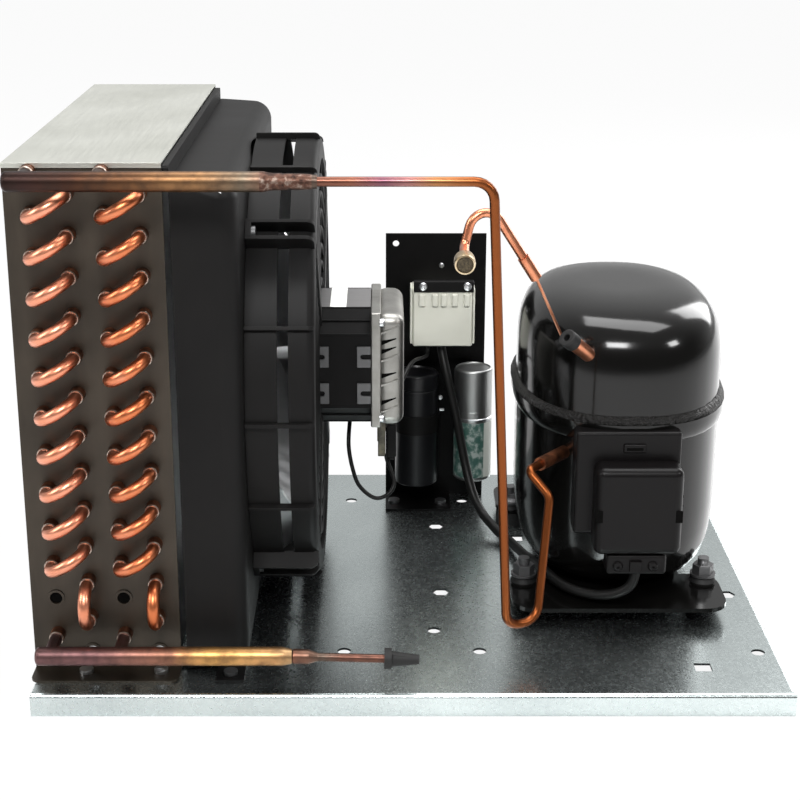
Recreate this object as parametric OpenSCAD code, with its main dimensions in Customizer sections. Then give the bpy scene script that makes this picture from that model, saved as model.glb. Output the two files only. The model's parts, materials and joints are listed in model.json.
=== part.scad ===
// Air-cooled condensing unit: finned coil, axial fan, hermetic compressor and controls on a folded tray.
// Frame: X to the right, Y away from the tube-bend end of the coil, Z up.
// The origin is the centre of the footprint, at the underside of the tray's lips.

/* [Tray] */
// Width of the tray
tray_w = 485; // [460:1:540]
// Depth of the tray
tray_d = 392; // [386:1:440]
// Height of the tray over its folded lips
tray_h = 15; // [12:0.5:25]
// Thickness of the tray's sheet
tray_t = 1.5; // [1:0.1:2.5]
// Inside radius of the folds
tray_bend_r = 1.5; // [0.5:0.1:3]
// Gap left open at each folded corner
tray_corner_gap = 1; // [0.5:0.1:3]
// Diameter of the round mounting holes
mount_hole_d = 9; // [6:0.1:12]
// Distance of the mounting holes, left to right
mount_span_x = 90; // [80:1:100]
// Distance of the mounting holes, front to back
mount_span_y = 270; // [264:1:276]
// Width across flats of the hexagonal holes
hex_hole_w = 11; // [6:0.1:14]

/* [Coil] */
// How far the coil stands out past the tray's left edge
coil_overhang = 2; // [1:0.1:6]
// Distance from the tray's front edge to the coil's front plate
coil_front_set = 36; // [34:0.5:44]
// Width of the coil's end plates
coil_w = 94.5; // [92:0.5:100]
// Depth of the coil over both end plates
coil_d = 339; // [300:1:340]
// Height of the coil
coil_h = 331; // [330:1:345]
// Thickness of the end plates
plate_t = 1.5; // [1:0.1:2.5]
// Thickness of the top and bottom covers
cover_t = 1.2; // [0.8:0.1:2]
// Depth of the top cover's folded lips
cover_lip = 3; // [2:0.5:4]
// Length of the front plate's foot on the tray
foot_l = 20; // [14:0.5:24]
// Distance between neighbouring tubes
row_pitch = 25; // [24.5:0.1:25]
// Number of tube holes in each column
row_n = 13; // [13:1:13]
// Height of the lowest hole over the coil's bottom edge
row_set = 13; // [12:0.5:13]
// Distance from the plate's left edge to the first column
col_set = 16; // [14:0.5:18]
// Outside diameter of the coil's tubes
tube_d = 7.94; // [7:0.01:8.5]
// Wall of the coil's tubes
tube_wall = 0.6; // [0.4:0.05:0.8]
// Distance between neighbouring fins
fin_pitch = 4; // [3:0.5:8]
// Thickness of a fin
fin_t = 1.2; // [0.6:0.1:1.6]
// Depth of the slots between the fins, short of the first tubes
fin_slot = 6; // [3:0.5:6]
// Length of a tube's belled end in front of the plate
bell_l = 8; // [6:0.5:10]
// Wall of the bell round the bend's leg
bell_wall = 0.75; // [0.5:0.05:1]
// Length of a return bend's straight leg in front of the plate
bend_leg = 10.3; // [9:0.1:12]

/* [Pipes] */
// Diameter of the upper and lower header
header_d = 12; // [10:0.1:12.5]
// Distance from the coil's front plate to the headers' axis
header_set = 29; // [26:0.5:29]
// Height of the upper header over the highest tubes
header_up_lift = -0.3; // [-1:0.1:0.5]
// Height of the lower header over the lowest connected tubes
header_low_lift = -2; // [-2.5:0.1:-1]
// Length of the upper header past the coil's right edge
header_up_l = 60; // [40:1:70]
// Length of the lower header past the coil's right edge
header_low_l = 67.5; // [40:1:80]
// Wall of the headers
header_wall = 1; // [0.6:0.1:1.5]
// Diameter of the discharge line
line_d = 6; // [5:0.1:8]
// Wall of the lines
line_wall = 0.8; // [0.5:0.1:1]
// Bend radius of the discharge line
line_bend_r = 12; // [9:0.5:13]
// Diameter of the liquid outlet tube
outlet_d = 5.5; // [5:0.1:6.35]
// Length of the liquid outlet tube in front of its joint
outlet_l = 50; // [30:1:60]
// Length of the rubber cap
cap_l = 22; // [18:0.5:30]
// Diameter of the rubber cap's flange
cap_flange_d = 13.5; // [11:0.5:16]

/* [Fan] */
// Depth of the shroud, from the coil to its outer face
shroud_depth = 44; // [42:0.5:50]
// Thickness of the shroud's walls
shroud_t = 2.5; // [2:0.1:4]
// Thickness of the shroud's mounting flange
shroud_flange = 4; // [3:0.5:6]
// Height of the shroud over the tray
shroud_h = 320; // [314:1:326]
// Corner radius of the shroud
shroud_r = 14; // [8:0.5:20]
// Height of the fan's axis under the coil's middle
fan_drop = 3; // [0:0.5:6]
// Outside radius of the fan guard's rings
guard_r = 155; // [152:0.5:156]
// Wall of the guard's rings
guard_t = 2.5; // [2:0.1:3]
// Width of the guard ring next to the shroud
ring_a_w = 20.5; // [16:0.5:22]
// Width of the open slot between the two rings
ring_gap = 7; // [4:0.5:10]
// Width of the second ring
ring_b_w = 12; // [8:0.5:14]
// Height of the raised grille in front of the second ring
ring_front = 9.5; // [8:0.5:12]
// Outside radius of the raised grille
grille_r = 139; // [134:0.5:142]
// Thickness of the guard's front grille
grille_t = 4.4; // [3:0.1:6]
// Width of the grille's round bars
grille_bar = 2.2; // [1.6:0.1:3]
// Number of round bars in the grille
grille_n = 7; // [4:1:8]
// Number of ribs round the guard
rib_n = 16; // [16:16:16]
// Thickness of a rib
rib_t = 2.6; // [2:0.1:4]
// Diameter of the fan
fan_d = 292; // [250:1:296]
// Number of fan blades
blade_n = 5; // [4:1:6]
// Pitch angle of the blades
blade_pitch = 24; // [15:1:26]
// Thickness of a blade
blade_t = 1.2; // [1:0.1:2]
// Diameter of the fan's hub
fan_hub_d = 50; // [40:1:60]
// Width of the motor's square stack
motor_w = 83; // [76:0.5:84]
// Chamfer of the stack's corners
motor_chamfer = 15; // [10:0.5:18]
// Length of the stack
stack_l = 39; // [30:0.5:42]
// Length of the aluminium end shield
shield_l = 23; // [18:0.5:28]
// Diameter of the motor's shaft
motor_shaft_d = 6; // [5:0.1:8]
// Diameter of the fan motor's rotor
motor_rotor_d = 38; // [30:0.5:42]

/* [Controls] */
// Width of the control bracket
bracket_w = 79; // [76:1:90]
// Height of the control bracket over the tray
bracket_h = 219; // [212:1:240]
// Thickness of the bracket's sheet
bracket_t = 2; // [1.2:0.1:3]
// Distance from the tray's back edge to the bracket
bracket_back_set = 47; // [44:0.5:50]
// Distance from the unit's middle to the bracket's left edge
bracket_left = 16; // [12:0.5:18]
// Length of the bracket's foot
bracket_foot_l = 38; // [36:0.5:42]
// Width of the terminal box
box_w = 50; // [44:0.5:54]
// Height of the terminal box
box_h = 52; // [48:0.5:60]
// Depth of the terminal box
box_d = 34; // [24:0.5:38]
// Diameter of the start capacitor
start_cap_d = 34; // [30:0.5:36]
// Length of the start capacitor
start_cap_l = 92; // [80:1:96]
// Diameter of the run capacitor
run_cap_d = 30; // [25:0.5:32]
// Length of the run capacitor
run_cap_l = 92; // [80:1:96]

/* [Compressor] */
// Half width of the shell at its seam
shell_a = 75; // [70:0.5:77]
// Half length of the shell at its seam
shell_b = 107; // [100:0.5:108]
// Height of the seam over the tray
seam_z = 141; // [138:0.5:146]
// Height of the upper shell over the seam
upper_h = 73; // [66:0.5:80]
// Wall of the shell
shell_t = 3; // [2.5:0.1:4]
// Height of the weld over the seam
seam_t = 5; // [4:0.5:7]
// Height of the lower shell's flared rim
flare_h = 14; // [12:0.5:16]
// Distance between the feet's bolts, left to right
feet_span_x = 127; // [124:1:130]
// Distance between the feet's bolts, front to back
feet_span_y = 139; // [136:1:142]
// Distance from the tray's right edge to the middle of the compressor's feet
comp_set = 98.5; // [96.5:0.5:99.5]
// Distance from the unit's middle back to the compressor's middle
comp_y = 20.5; // [18:0.5:22]
// Distance from the middle of the feet to the middle of the shell
shell_shift = 5; // [3:0.5:6]
// Height of the rubber grommets under the base plate
grommet_h = 10; // [9:0.5:12]
// Diameter of the rubber grommets
grommet_d = 21; // [18:0.5:24]
// Diameter of the feet's bolts
foot_bolt_d = 8; // [6:0.1:8]
// Thickness of the compressor's base plate
base_t = 3; // [2:0.1:4]
// Width of the terminal cover
tcover_w = 58.5; // [54:0.5:62]
// Height of the terminal cover's bulge
tcover_h = 62; // [56:0.5:66]
// Stroke of the piston
stroke = 16; // [12:0.5:18]
// Diameter of the piston
piston_d = 26; // [22:0.5:30]
// Diameter of the crankshaft
crank_d = 16; // [14:0.5:18]
// Diameter of the compressor motor's rotor
crotor_d = 52; // [46:0.5:54]
// Height of the compressor motor's stack
cstack_h = 38; // [30:0.5:40]

/* [Fits] */
// Running clearance of the shafts, on the radius
run_gap = 0.05; // [0.02:0.01:0.1]
// Gap between seated pieces
seat_gap = 0.2; // [0.1:0.05:0.3]
// Gap between sleeved tubes, on the radius
sleeve_gap = 0.05; // [0.03:0.01:0.1]
// Diameter of the sheet screws
screw_d = 5; // [4:0.1:6]

/* [Hidden] */
$fn = 48;
// Overrun of every cut
over = 1;

// Frame of the unit
unit_x0 = -(tray_w + coil_overhang) / 2;
tray_x0 = unit_x0 + coil_overhang;
tray_x1 = tray_x0 + tray_w;
tray_mid_x = tray_x0 + tray_w / 2;
tray_y0 = -tray_d / 2;
tray_y1 = tray_d / 2;
tray_fold_r = tray_bend_r + tray_t;

// Clearance hole of the sheet screws
screw_hole_d = screw_d + 2 * seat_gap;
// Pan head of the sheet screws
screw_head_d = 1.8 * screw_d;
screw_head_h = 0.5 * screw_d;
// Length of the screws under the sheets they hold
screw_tail = 5;

// Holes of the tray, as shares of its width and depth from its middle
centre_hole_share = [0.032, -0.265];
hex_hole_shares = [[0.046, -0.107], [0.466, -0.119], [0.046, 0.206]];
square_hole_shares = [[0.39, -0.404], [0.171, 0.144]];
// Width of the square holes
square_hole_w = 11;
// Distance of the corner holes from the tray's right and front edges
corner_hole_set = [13, 59];

// Set-back of the long lips' ends from the tray's corners
corner_inset = 0.5;

// Places of the coil
coil_x0 = unit_x0;
coil_x1 = coil_x0 + coil_w;
coil_y0 = tray_y0 + coil_front_set;
coil_y1 = coil_y0 + coil_d;
coil_z0 = tray_h;
coil_z1 = coil_z0 + coil_h;
col_n = 4;
col_pitch = row_pitch * sqrt(3) / 2;
tube_r = tube_d / 2;
function is_even(i) = i % 2 == 0;
function col_x(i) = coil_x0 + col_set + i * col_pitch;
function row_z(i, j) = coil_z0 + row_set + (is_even(i) ? row_pitch / 2 : 0) + row_pitch * j;
// Two holes near the bottom of the coil carry no tube
function has_tube(i, j) = is_even(i) ? j != 1 : j != 0;
tube_places = [for (i = [0 : col_n - 1], j = [0 : row_n - 1]) if (has_tube(i, j)) [i, j]];
hole_places = [for (i = [0 : col_n - 1], j = [0 : row_n - 1]) [i, j]];
// Straight part of a hairpin behind the rear plate
hairpin_leg = 0.3;
// Solid shoulder between a tube and its bell
bell_step = 1.2;
bell_r = tube_r + sleeve_gap + bell_wall;
// Braze ring on a bell's end
braze_w = 1;
// Collar round an empty tube hole
collar_w = 1.5;
collar_h = 1;
foot_r = 6;
rear_foot_l = 13;
// Screws of the coil, as shares of the plate's width and of the foot's length
coil_screw_shares = [[0.36, 0.37], [0.87, 0.37]];
coil_screw_places = concat(
    [for (s = coil_screw_shares) [coil_x0 + coil_w * s[0], coil_y0 - foot_l * s[1]]],
    [for (s = coil_screw_shares) [coil_x0 + coil_w * s[0], coil_y1 + rear_foot_l / 2]]
);

// Fins
fin_x0 = col_x(0) - col_pitch / 2;
fin_x1 = col_x(col_n - 1) + col_pitch / 2;
fin_y0 = coil_y0 + plate_t;
fin_y1 = coil_y1 - plate_t;
fin_gaps = floor((fin_y1 - fin_y0 - fin_t) / fin_pitch);
fin_step = (fin_y1 - fin_y0 - fin_t) / fin_gaps;

// Pipes
header_y = coil_y0 - header_set;
header_up_z = row_z(0, row_n - 1) + header_up_lift;
header_low_z = row_z(0, 0) + header_low_lift;
header_taper = 6;
line_r = line_d / 2;
line_sleeve_l = 27;
line_insert = 12;
line_sleeve_r = line_r + sleeve_gap + header_wall;
header_up_x1 = coil_x1 + header_up_l;
line_x0 = header_up_x1 + header_taper + line_sleeve_l - line_insert;
header_low_x1 = coil_x1 + header_low_l;
outlet_x0 = header_low_x1 + header_taper + seat_gap;
// Swaged joint round the outlet tube
outlet_joint_d = 9.5;
outlet_joint_l = 16;
outlet_tilt = 1.6;
cap_body_d = 10;
cap_tip_d = 6;
cap_flange_l = 4.5;
cap_insert = 8;

header_end_set = 6.5;

// Corners of the discharge line
line_corner_x = 45.5;
line_low_z = 40;
line_low_left = [62, -151];
line_low_right = [83, -139];
line_knee = [91, -117, 118];
line_hook_reach = 16.5;
line_knee_r = 9;
line_hook_r = 5;
line_bends = [0, line_bend_r, line_bend_r, line_bend_r, line_knee_r, line_hook_r, 0];

// Fan
fan_y = coil_y0 + coil_d / 2;
fan_z = coil_z0 + coil_h / 2 - fan_drop;
shroud_x1 = coil_x1 + shroud_depth;
shroud_over_y = 2;
shroud_top_z = coil_z0 + shroud_h;
guard_bore_r = guard_r - guard_t;
ring_a_x1 = shroud_x1 + ring_a_w;
ring_b_x0 = ring_a_x1 + ring_gap;
ring_b_x1 = ring_b_x0 + ring_b_w;
grille_x1 = ring_b_x1 + ring_front;
grille_x0 = grille_x1 - grille_t;
// Ribs stand out from the rings
rib_rise = 3;
// Lugs at the diagonals reach this far past the rings
lug_rise = 11;
lug_w = 15;
// Inner edge of the grille, and the arms that hold the motor
grille_eye_r = 50;
arm_w = 14;
arm_n = 4;
lug_angles = [for (k = [0 : arm_n - 1]) 360 * (k + 0.5) / arm_n];
lug_screw_r = guard_r + guard_t / 2 + screw_head_d / 2 + seat_gap;
shroud_foot_set = [33, -12];
shroud_foot_at = [coil_x1, coil_y0] + shroud_foot_set;

// Fan motor, along the fan's axis
stack_set = 5.3;
stack_x0 = grille_x0 - stack_set;
stack_x1 = stack_x0 + stack_l;
stator_bore_d = motor_rotor_d + 8 * run_gap;
winding_d = 15;
winding_r = 31;
winding_head = 6;
shield_wall = 2.5;
shield_side = motor_w + 1;
shield_r = 12;
shield_slot_w = 5;
inner_shield_l = 7;
bearing_d = 16;
bearing_l = 5;
tab_l = 10;
tab_h = 15;
tab_t = 1.5;
tab_slot_w = 3.5;
// Height of the tabs' middles over and under the fan's axis
tab_set_up = 10.5;
tab_set_down = 16;
hub_l = 18;
hub_wall = 2;
// Gap from the hub to the motor's inner shield
hub_set = 5;
fan_x1 = stack_x0 - inner_shield_l - hub_set;
fan_x0 = fan_x1 - hub_l;
blade_root_w = 34;
blade_tip_w = 84;
connector_w = 14;
connector_h = 34;
connector_t = 10;

// Controls
bracket_x0 = -bracket_left;
bracket_x1 = bracket_x0 + bracket_w;
bracket_y = tray_y1 - bracket_back_set;
bracket_z1 = tray_h + bracket_h;
bracket_foot_w = 52;
bracket_hole_d = 5;
bracket_hole_inset = [8, 8];
// Screws of the bracket's foot, as shares of its width and length
bracket_screw_shares = [[0.13, 0.58], [0.85, 0.61]];
bracket_screw_places = [for (s = bracket_screw_shares)
    [bracket_x0 + bracket_foot_w * s[0], bracket_y - bracket_foot_l * s[1]]];
box_set = [19, 0, 137];
start_cap_set = [24.5, -25, 22];
run_cap_set = [69.5, -20, 24];
box_x0 = bracket_x0 + box_set[0];
box_z0 = tray_h + box_set[2];
start_cap_at = [bracket_x0, bracket_y, tray_h] + start_cap_set;
run_cap_at = [bracket_x0, bracket_y, tray_h] + run_cap_set;
cap_rim = 1.5;
strap_h = 14;
strap_t = 1.2;
clamp_h = 14;
clamp_t = 5;
clamp_n = 5;

// Compressor shell: superelliptic in plan, with flat-sided cups above and below the seam
comp_x = tray_x1 - comp_set;
shell_x = comp_x + shell_shift;
seam_top = tray_h + seam_z;
base_z0 = tray_h + grommet_h;
base_z1 = base_z0 + base_t;
plan_power = 2.37;
upper_power = 4.5;
lower_power = 6.7;
wall_share = 0.95;
lower_drop = seam_top - base_z1;
shell_seg = 40;
cup_angles = [0, 6, 14, 24, 35, 46, 57, 67, 76, 83, 87];
// Outline of the weld, as shares of the brim's width and the weld's height
weld_shares = [[0, 0], [0.95, 0], [0.85, 0.4], [0.5, 0.8], [0, 1]];
brim_w = shell_a * (1 - wall_share);
foot_places = [for (x = [-1, 1], y = [-1, 1]) [comp_x + x * feet_span_x / 2, comp_y + y * feet_span_y / 2]];
// Reach of the base plate's ends past the bolts, away from the middle and towards it
foot_reach_out = 48.5;
foot_reach_in = 9.5;
base_bar_l = foot_reach_out + foot_reach_in;
base_bar_w = 148;
base_l = feet_span_y + 2 * foot_reach_out;
base_waist_w = 96;
base_corner_r = 16;
grommet_neck_d = 14;
grommet_top_h = 4;
washer_d = 18;
washer_t = 1.6;
nut_w = 13;
nut_h = 6.5;
stud_tail = 5;
tcover_shift = 2;
tcover_z0 = tray_h + 56;
tcover_depth = 27;
tcover_wall = 2.5;
tcover_r = 8;
// Flange of the cover on the shell
shoulder_w = 70.5;
shoulder_shift = -4.25;
shoulder_low = 9;
shoulder_h = 20;
shoulder_d = 9;
latch_w = 15;
latch_h = 5;
relay_w = 38;
relay_h = 34;
relay_d = 15;
cord_clamp_w = 42;
cord_clamp_h = 14;
cord_clamp_d = 20;

// Connectors of the shell, as shares of its half width, half length and heights
stub_shares = [-0.5996, -0.807, -0.2];
stub_way = [-0.55, -0.83, 0.05];
stub_l = 34;
stub_d = 9;
suction_shares = [-0.4306, -0.856, 0.63];
suction_way = [-0.6, -0.55, 0.58];
suction_l = 22;
suction_d = 10;
suction_wall = 1.2;
suction_plug_l = 9;
suction_plug_d = 12;
pipe_sink = 2;
capillary_d = 2;
capillary_shares = [-0.6198, -0.7342, 0.69];
service_d = 6;
service_r = 11;
service_low = [33, -108, 284];
service_top = [42, -105, 320];
service_end = [71, -98, 274];
service_face = [32, -136, 279];
service_sleeve_l = 17;
fitting_d = 13;
fitting_l = 15;

// Pump inside the shell
pump_shift = 12;
pump_y = comp_y + pump_shift;
crank_throw = stroke / 2;
cstack_set = 27;
stack_z0 = base_z1 + cstack_set;
stack_z1 = stack_z0 + cstack_h;
cstack_w = 104;
cstack_bore_d = crotor_d + 10 * run_gap;
coil_head_h = 9;
coil_head_t = 10;
block_set = 16;
plate_z0 = stack_z1 + block_set;
block_plate_t = 9;
block_w = 92;
block_l = 106;
bearing_boss_d = 28;
bearing_boss_l = 14;
post_d = 12;
cylinder_w = 46;
cylinder_l = 42;
post_set = 40;
yoke_t = 3;
pin_d = 12;
// Window of the yoke, which leaves the pin free wherever the piston stands
yoke_window = [stroke + pin_d + 10 * run_gap, 2 * stroke + pin_d + 10 * run_gap];
yoke_size = [yoke_window[0] + 4 * yoke_t, yoke_window[1] + 2 * yoke_t];
crank_web_t = 5;
crank_web_d = 38;
crank_web_z0 = plate_z0 + block_plate_t + run_gap * 4;
pin_l = 24;
pin_z1 = crank_web_z0 + crank_web_t + pin_l;
yoke_h = 14;
piston_z = pin_z1 - pin_l / 2;
piston_l = 24;
rod_l = 10;
// Distance from the crank's axis to the cylinder's open end
cylinder_y = yoke_size[1] / 2 + crank_throw + 10 * run_gap;
rod_w = 10;
valve_t = 4;
spring_d = 14;
spring_set = 34.5;
spring_lift = 3;
spring_z0 = base_z1 + shell_t + spring_lift;

// Routes of the cables, chosen by hand
supply_d = 7;
supply_points = [
    [28, 124, 152], [28, 124, 146], [32, 116, 128], [39, 108, 98], [46, 98, 63], [52, 86, 41], [59, 74, 29],
    [66, 61, 24], [72, 50, 21], [78, 37, 21], [87, 0, 25], [93, -32, 33], [103, -64, 34], [114, -80, 34],
    [128, -90, 35], [141, -96, 39], [150, -98, 46], [153, -98, 57]
];
lead_d = 3;
lead_points = [
    [-42, 10, 136], [-42, 10, 130], [-43, -1, 112], [-40, -1, 93], [-35, -1, 80], [-24, -1, 71],
    [-14, 0, 74], [-10, 4, 82], [-15, 9, 96], [-16, 9, 101.3]
];
fan_supply_points = [
    [-16, 16.5, 118], [-16, 24, 118], [-12, 44, 126], [-4, 62, 140], [4, 80, 151], [14, 106, 146],
    [17, 120, 146], [17, 120, 152]
];

// Outline of a rectangle with round corners
function round_rect(x0, x1, y0, y1, r, n = 6) = [
    for (q = [0 : 3], i = [0 : n])
        let (a = 90 * q + 90 * i / n,
             cx = (q == 0 || q == 3) ? x1 - r : x0 + r,
             cy = q < 2 ? y1 - r : y0 + r)
        [cx + r * cos(a), cy + r * sin(a)]
];

// Faces of a skin over n rings of k points; its ends are capped, or joined to each other
function skin_faces(n, k, closed) = concat(
    [for (i = [0 : (closed ? n - 1 : n - 2)], j = [0 : k - 1], half = [0, 1])
        let (a = i * k + j,
             b = i * k + (j + 1) % k,
             c = ((i + 1) % n) * k + j,
             d = ((i + 1) % n) * k + (j + 1) % k)
        half == 0 ? [a, d, b] : [a, c, d]],
    closed ? [] : [[for (j = [0 : k - 1]) j], [for (j = [k - 1 : -1 : 0]) (n - 1) * k + j]]
);

module skin(rings, closed = false) {
    polyhedron([for (ring = rings) each ring], skin_faces(len(rings), len(rings[0]), closed), convexity = 8);
}

function unit(v) = v / norm(v);

// Directions that no cable and no pipe runs along
cable_side = [0.31, 0.22, 0.92];
line_side = [-0.6, 0.8, 0.1];

// Point of a smooth curve between b and c, at share t of the way
function curve_at(a, b, c, d, t) =
    ((2 * b) + (c - a) * t + (2 * a - 5 * b + 4 * c - d) * t * t + (3 * b - a - 3 * c + d) * t * t * t) / 2;

// Smooth line through the points p, with n steps a span
function smooth(p, n) = let (last = len(p) - 1) concat(
    [for (i = [0 : last - 1], k = [0 : n - 1])
        curve_at(p[max(i - 1, 0)], p[i], p[i + 1], p[min(i + 2, last)], k / n)],
    [p[last]]
);

// Rings of k points and radius r square to the line p, which never runs along the direction side
function sweep_rings(p, r, k, side) = [
    for (i = [0 : len(p) - 1])
        let (t = unit(p[min(i + 1, len(p) - 1)] - p[max(i - 1, 0)]),
             u = unit(cross(t, side)),
             v = cross(t, u))
        [for (j = [0 : k - 1]) p[i] + r * (cos(360 * j / k) * u + sin(360 * j / k) * v)]
];

module cable(p, d, n, k) {
    skin(sweep_rings(smooth(p, n), d / 2, k, cable_side));
}

// Places its child, made along Z, at the point a with Z along the direction w and X along u
module place(a, w, u) {
    v = cross(w, u);
    multmatrix([
        [u[0], v[0], w[0], a[0]],
        [u[1], v[1], w[1], a[1]],
        [u[2], v[2], w[2], a[2]],
        [0, 0, 0, 1]
    ]) children();
}

function side_of(w) = unit(cross(abs(w[2]) > 0.9 ? [1, 0, 0] : [0, 0, 1], w));

// Places its child at the point a with Z along the direction w
module aim(a, w) {
    place(a, unit(w), side_of(unit(w))) children();
}

module ring(r, wall) {
    difference() {
        circle(r);
        circle(r - wall);
    }
}

module tube(r, wall, l) {
    linear_extrude(l) ring(r, wall);
}

function turn_at(p, i) = acos(unit(p[i] - p[i - 1]) * unit(p[i + 1] - p[i]));
function tangent_at(p, bends, i) = (i == 0 || i == len(p) - 1) ? 0 : bends[i] * tan(turn_at(p, i) / 2);

// Line through the points p, with its corners rounded to the radii in bends
function bent_line(p, bends) = [
    for (i = [0 : len(p) - 1])
        let (w0 = unit(p[i] - p[max(i - 1, 0)]), w1 = unit(p[min(i + 1, len(p) - 1)] - p[i]))
        each (i == 0 || i == len(p) - 1) ? [p[i]] :
            let (turn = turn_at(p, i),
                 steps = ceil(turn / 15),
                 inward = unit(w1 - w0),
                 centre = p[i] + inward * bends[i] / cos(turn / 2),
                 out = unit(p[i] - w0 * tangent_at(p, bends, i) - centre))
            [for (k = [0 : steps]) centre + bends[i] * (cos(turn * k / steps) * out + sin(turn * k / steps) * w0)]
];

// Tube of k sides along the line p
module bent_tube(p, r, wall, k) {
    outer = sweep_rings(p, r, k, line_side);
    inner = sweep_rings(p, r - wall, k, line_side);
    skin(concat(outer, [for (i = [len(inner) - 1 : -1 : 0]) inner[i]]), true);
}

// Puts its child on the fan's axis at x, with Z along +X
module on_fan_axis(x) {
    translate([x, fan_y, fan_z]) rotate([0, 90, 0]) children();
}

// Flat outline in the plane of Y and Z at x, raised along +X
module upright(x, l) {
    translate([x, 0, 0]) rotate([90, 0, 90]) linear_extrude(l) children();
}

// Pan-head screw whose head sits on the plane of Z 0
module screw(tail) {
    cylinder(d = screw_head_d, h = screw_head_h);
    translate([0, 0, -tail]) cylinder(d = screw_d, h = tail);
}

// Point of the compressor's plan at the angle t, for the half axes a and b
function plan_point(t, a, b, z) = [
    shell_x + sign(cos(t)) * a * pow(abs(cos(t)), 2 / plan_power),
    comp_y + sign(sin(t)) * b * pow(abs(sin(t)), 2 / plan_power),
    z
];
function plan_ring(share, inset, z) = [
    for (i = [0 : shell_seg - 1])
        plan_point(360 * (i + 0.5) / shell_seg, shell_a * share - inset, shell_b * share - inset, z)
];

// Front of the compressor's wall at x, with a gap kept from it
function shell_front(x, gap, share = wall_share) = comp_y - (shell_b * share + gap)
    * pow(1 - pow(abs(x - shell_x) / (shell_a * share + gap), plan_power), 1 / plan_power);

// Ring of a cup at the angle phi of its side, for a side that starts at z
function cup_ring(phi, power, z, rise, inset) = plan_ring(
    wall_share * pow(cos(phi), 2 / power),
    inset,
    z + (rise - sign(rise) * inset) * pow(sin(phi), 2 / power)
);

function shell_place(s) = [
    shell_x + s[0] * shell_a,
    comp_y + s[1] * shell_b,
    seam_top + s[2] * (s[2] > 0 ? upper_h : lower_drop)
];
stub_base = shell_place(stub_shares);
suction_base = shell_place(suction_shares);
capillary_base = shell_place(capillary_shares);
stub_end = stub_base + unit(stub_way) * stub_l;
line_points = [
    [line_x0, header_y, header_up_z],
    [line_corner_x, header_y, header_up_z],
    [line_low_left[0], line_low_left[1], line_low_z],
    [line_low_right[0], line_low_right[1], line_low_z],
    line_knee,
    stub_end + unit(stub_way) * line_hook_reach,
    stub_end - unit(stub_way) * line_insert / 2
];

// Tray

function tray_place(share) = [tray_w * share[0], tray_d * share[1]];

module tray_lip(l, reach) {
    fold = concat(
        [for (a = [0 : 15 : 90]) [tray_fold_r * sin(a), tray_fold_r * cos(a) - tray_fold_r]],
        [[tray_fold_r, -tray_h], [tray_fold_r - tray_t, -tray_h]],
        [for (a = [90 : -15 : 0]) [tray_bend_r * sin(a), tray_bend_r * cos(a) - tray_fold_r]]
    );
    translate([-l / 2, reach, tray_h]) rotate([90, 0, 90]) linear_extrude(l) polygon(fold);
}

module tray_hole(at, d) {
    translate([at[0], at[1], tray_h - tray_t - over]) cylinder(d = d, h = tray_t + 2 * over);
}

module base_tray() {
    half_w = tray_w / 2 - tray_fold_r;
    half_d = tray_d / 2 - tray_fold_r;
    color([0.66, 0.71, 0.74]) difference() {
        translate([tray_mid_x, 0, 0]) difference() {
            union() {
                translate([-half_w, -half_d, tray_h - tray_t]) cube([2 * half_w, 2 * half_d, tray_t]);
                for (turn = [0, 180]) rotate([0, 0, turn]) tray_lip(tray_w - 2 * corner_inset, half_d);
                for (turn = [90, 270]) rotate([0, 0, turn]) tray_lip(2 * (half_d - tray_corner_gap), half_w);
            }
            for (x = [-1, 1], y = [-1, 1]) tray_hole([x * mount_span_x / 2, y * mount_span_y / 2], mount_hole_d);
            for (y = [-1, 1]) tray_hole([tray_w / 2 - corner_hole_set[0], y * (tray_d / 2 - corner_hole_set[1])],
                mount_hole_d);
            tray_hole(tray_place(centre_hole_share), mount_hole_d);
            for (share = hex_hole_shares) {
                at = tray_place(share);
                translate([at[0], at[1], tray_h - tray_t - over])
                    cylinder(d = hex_hole_w / cos(30), h = tray_t + 2 * over, $fn = 6);
            }
            for (share = square_hole_shares) {
                at = tray_place(share);
                translate([at[0] - square_hole_w / 2, at[1] - square_hole_w / 2, tray_h - tray_t - over])
                    cube([square_hole_w, square_hole_w, tray_t + 2 * over]);
            }
        }
        for (at = coil_screw_places) tray_hole(at, screw_hole_d);
        for (at = bracket_screw_places) tray_hole(at, screw_hole_d);
        tray_hole(shroud_foot_at, screw_hole_d);
        for (at = foot_places) tray_hole(at, foot_bolt_d + 2 * seat_gap);
    }
}

// Coil

module tube_holes(y, l, r) {
    for (at = hole_places)
        translate([col_x(at[0]), y, row_z(at[0], at[1])]) rotate([-90, 0, 0]) cylinder(r = r, h = l);
}

module foot_plate(y0, y1, r) {
    linear_extrude(plate_t) polygon(round_rect(coil_x0, coil_x1, y0, y1, r));
}

module coil_front_plate() {
    color([0.30, 0.28, 0.24]) difference() {
        union() {
            translate([coil_x0, coil_y0, coil_z0]) cube([coil_w, plate_t, coil_h - cover_t]);
            translate([0, 0, coil_z0]) foot_plate(coil_y0 - foot_l, coil_y0 - foot_r, foot_r);
            translate([coil_x0, coil_y0 - 2 * foot_r, coil_z0]) cube([coil_w, 2 * foot_r, plate_t]);
            for (at = hole_places) if (!has_tube(at[0], at[1]))
                translate([col_x(at[0]), coil_y0, row_z(at[0], at[1])]) rotate([90, 0, 0])
                    cylinder(r = tube_r + collar_w, h = collar_h);
        }
        tube_holes(coil_y0 - collar_h - over, plate_t + collar_h + 2 * over, tube_r + sleeve_gap);
        for (at = coil_screw_places) translate([at[0], at[1], coil_z0 - over])
            cylinder(d = screw_hole_d, h = plate_t + 2 * over);
    }
}

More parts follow.
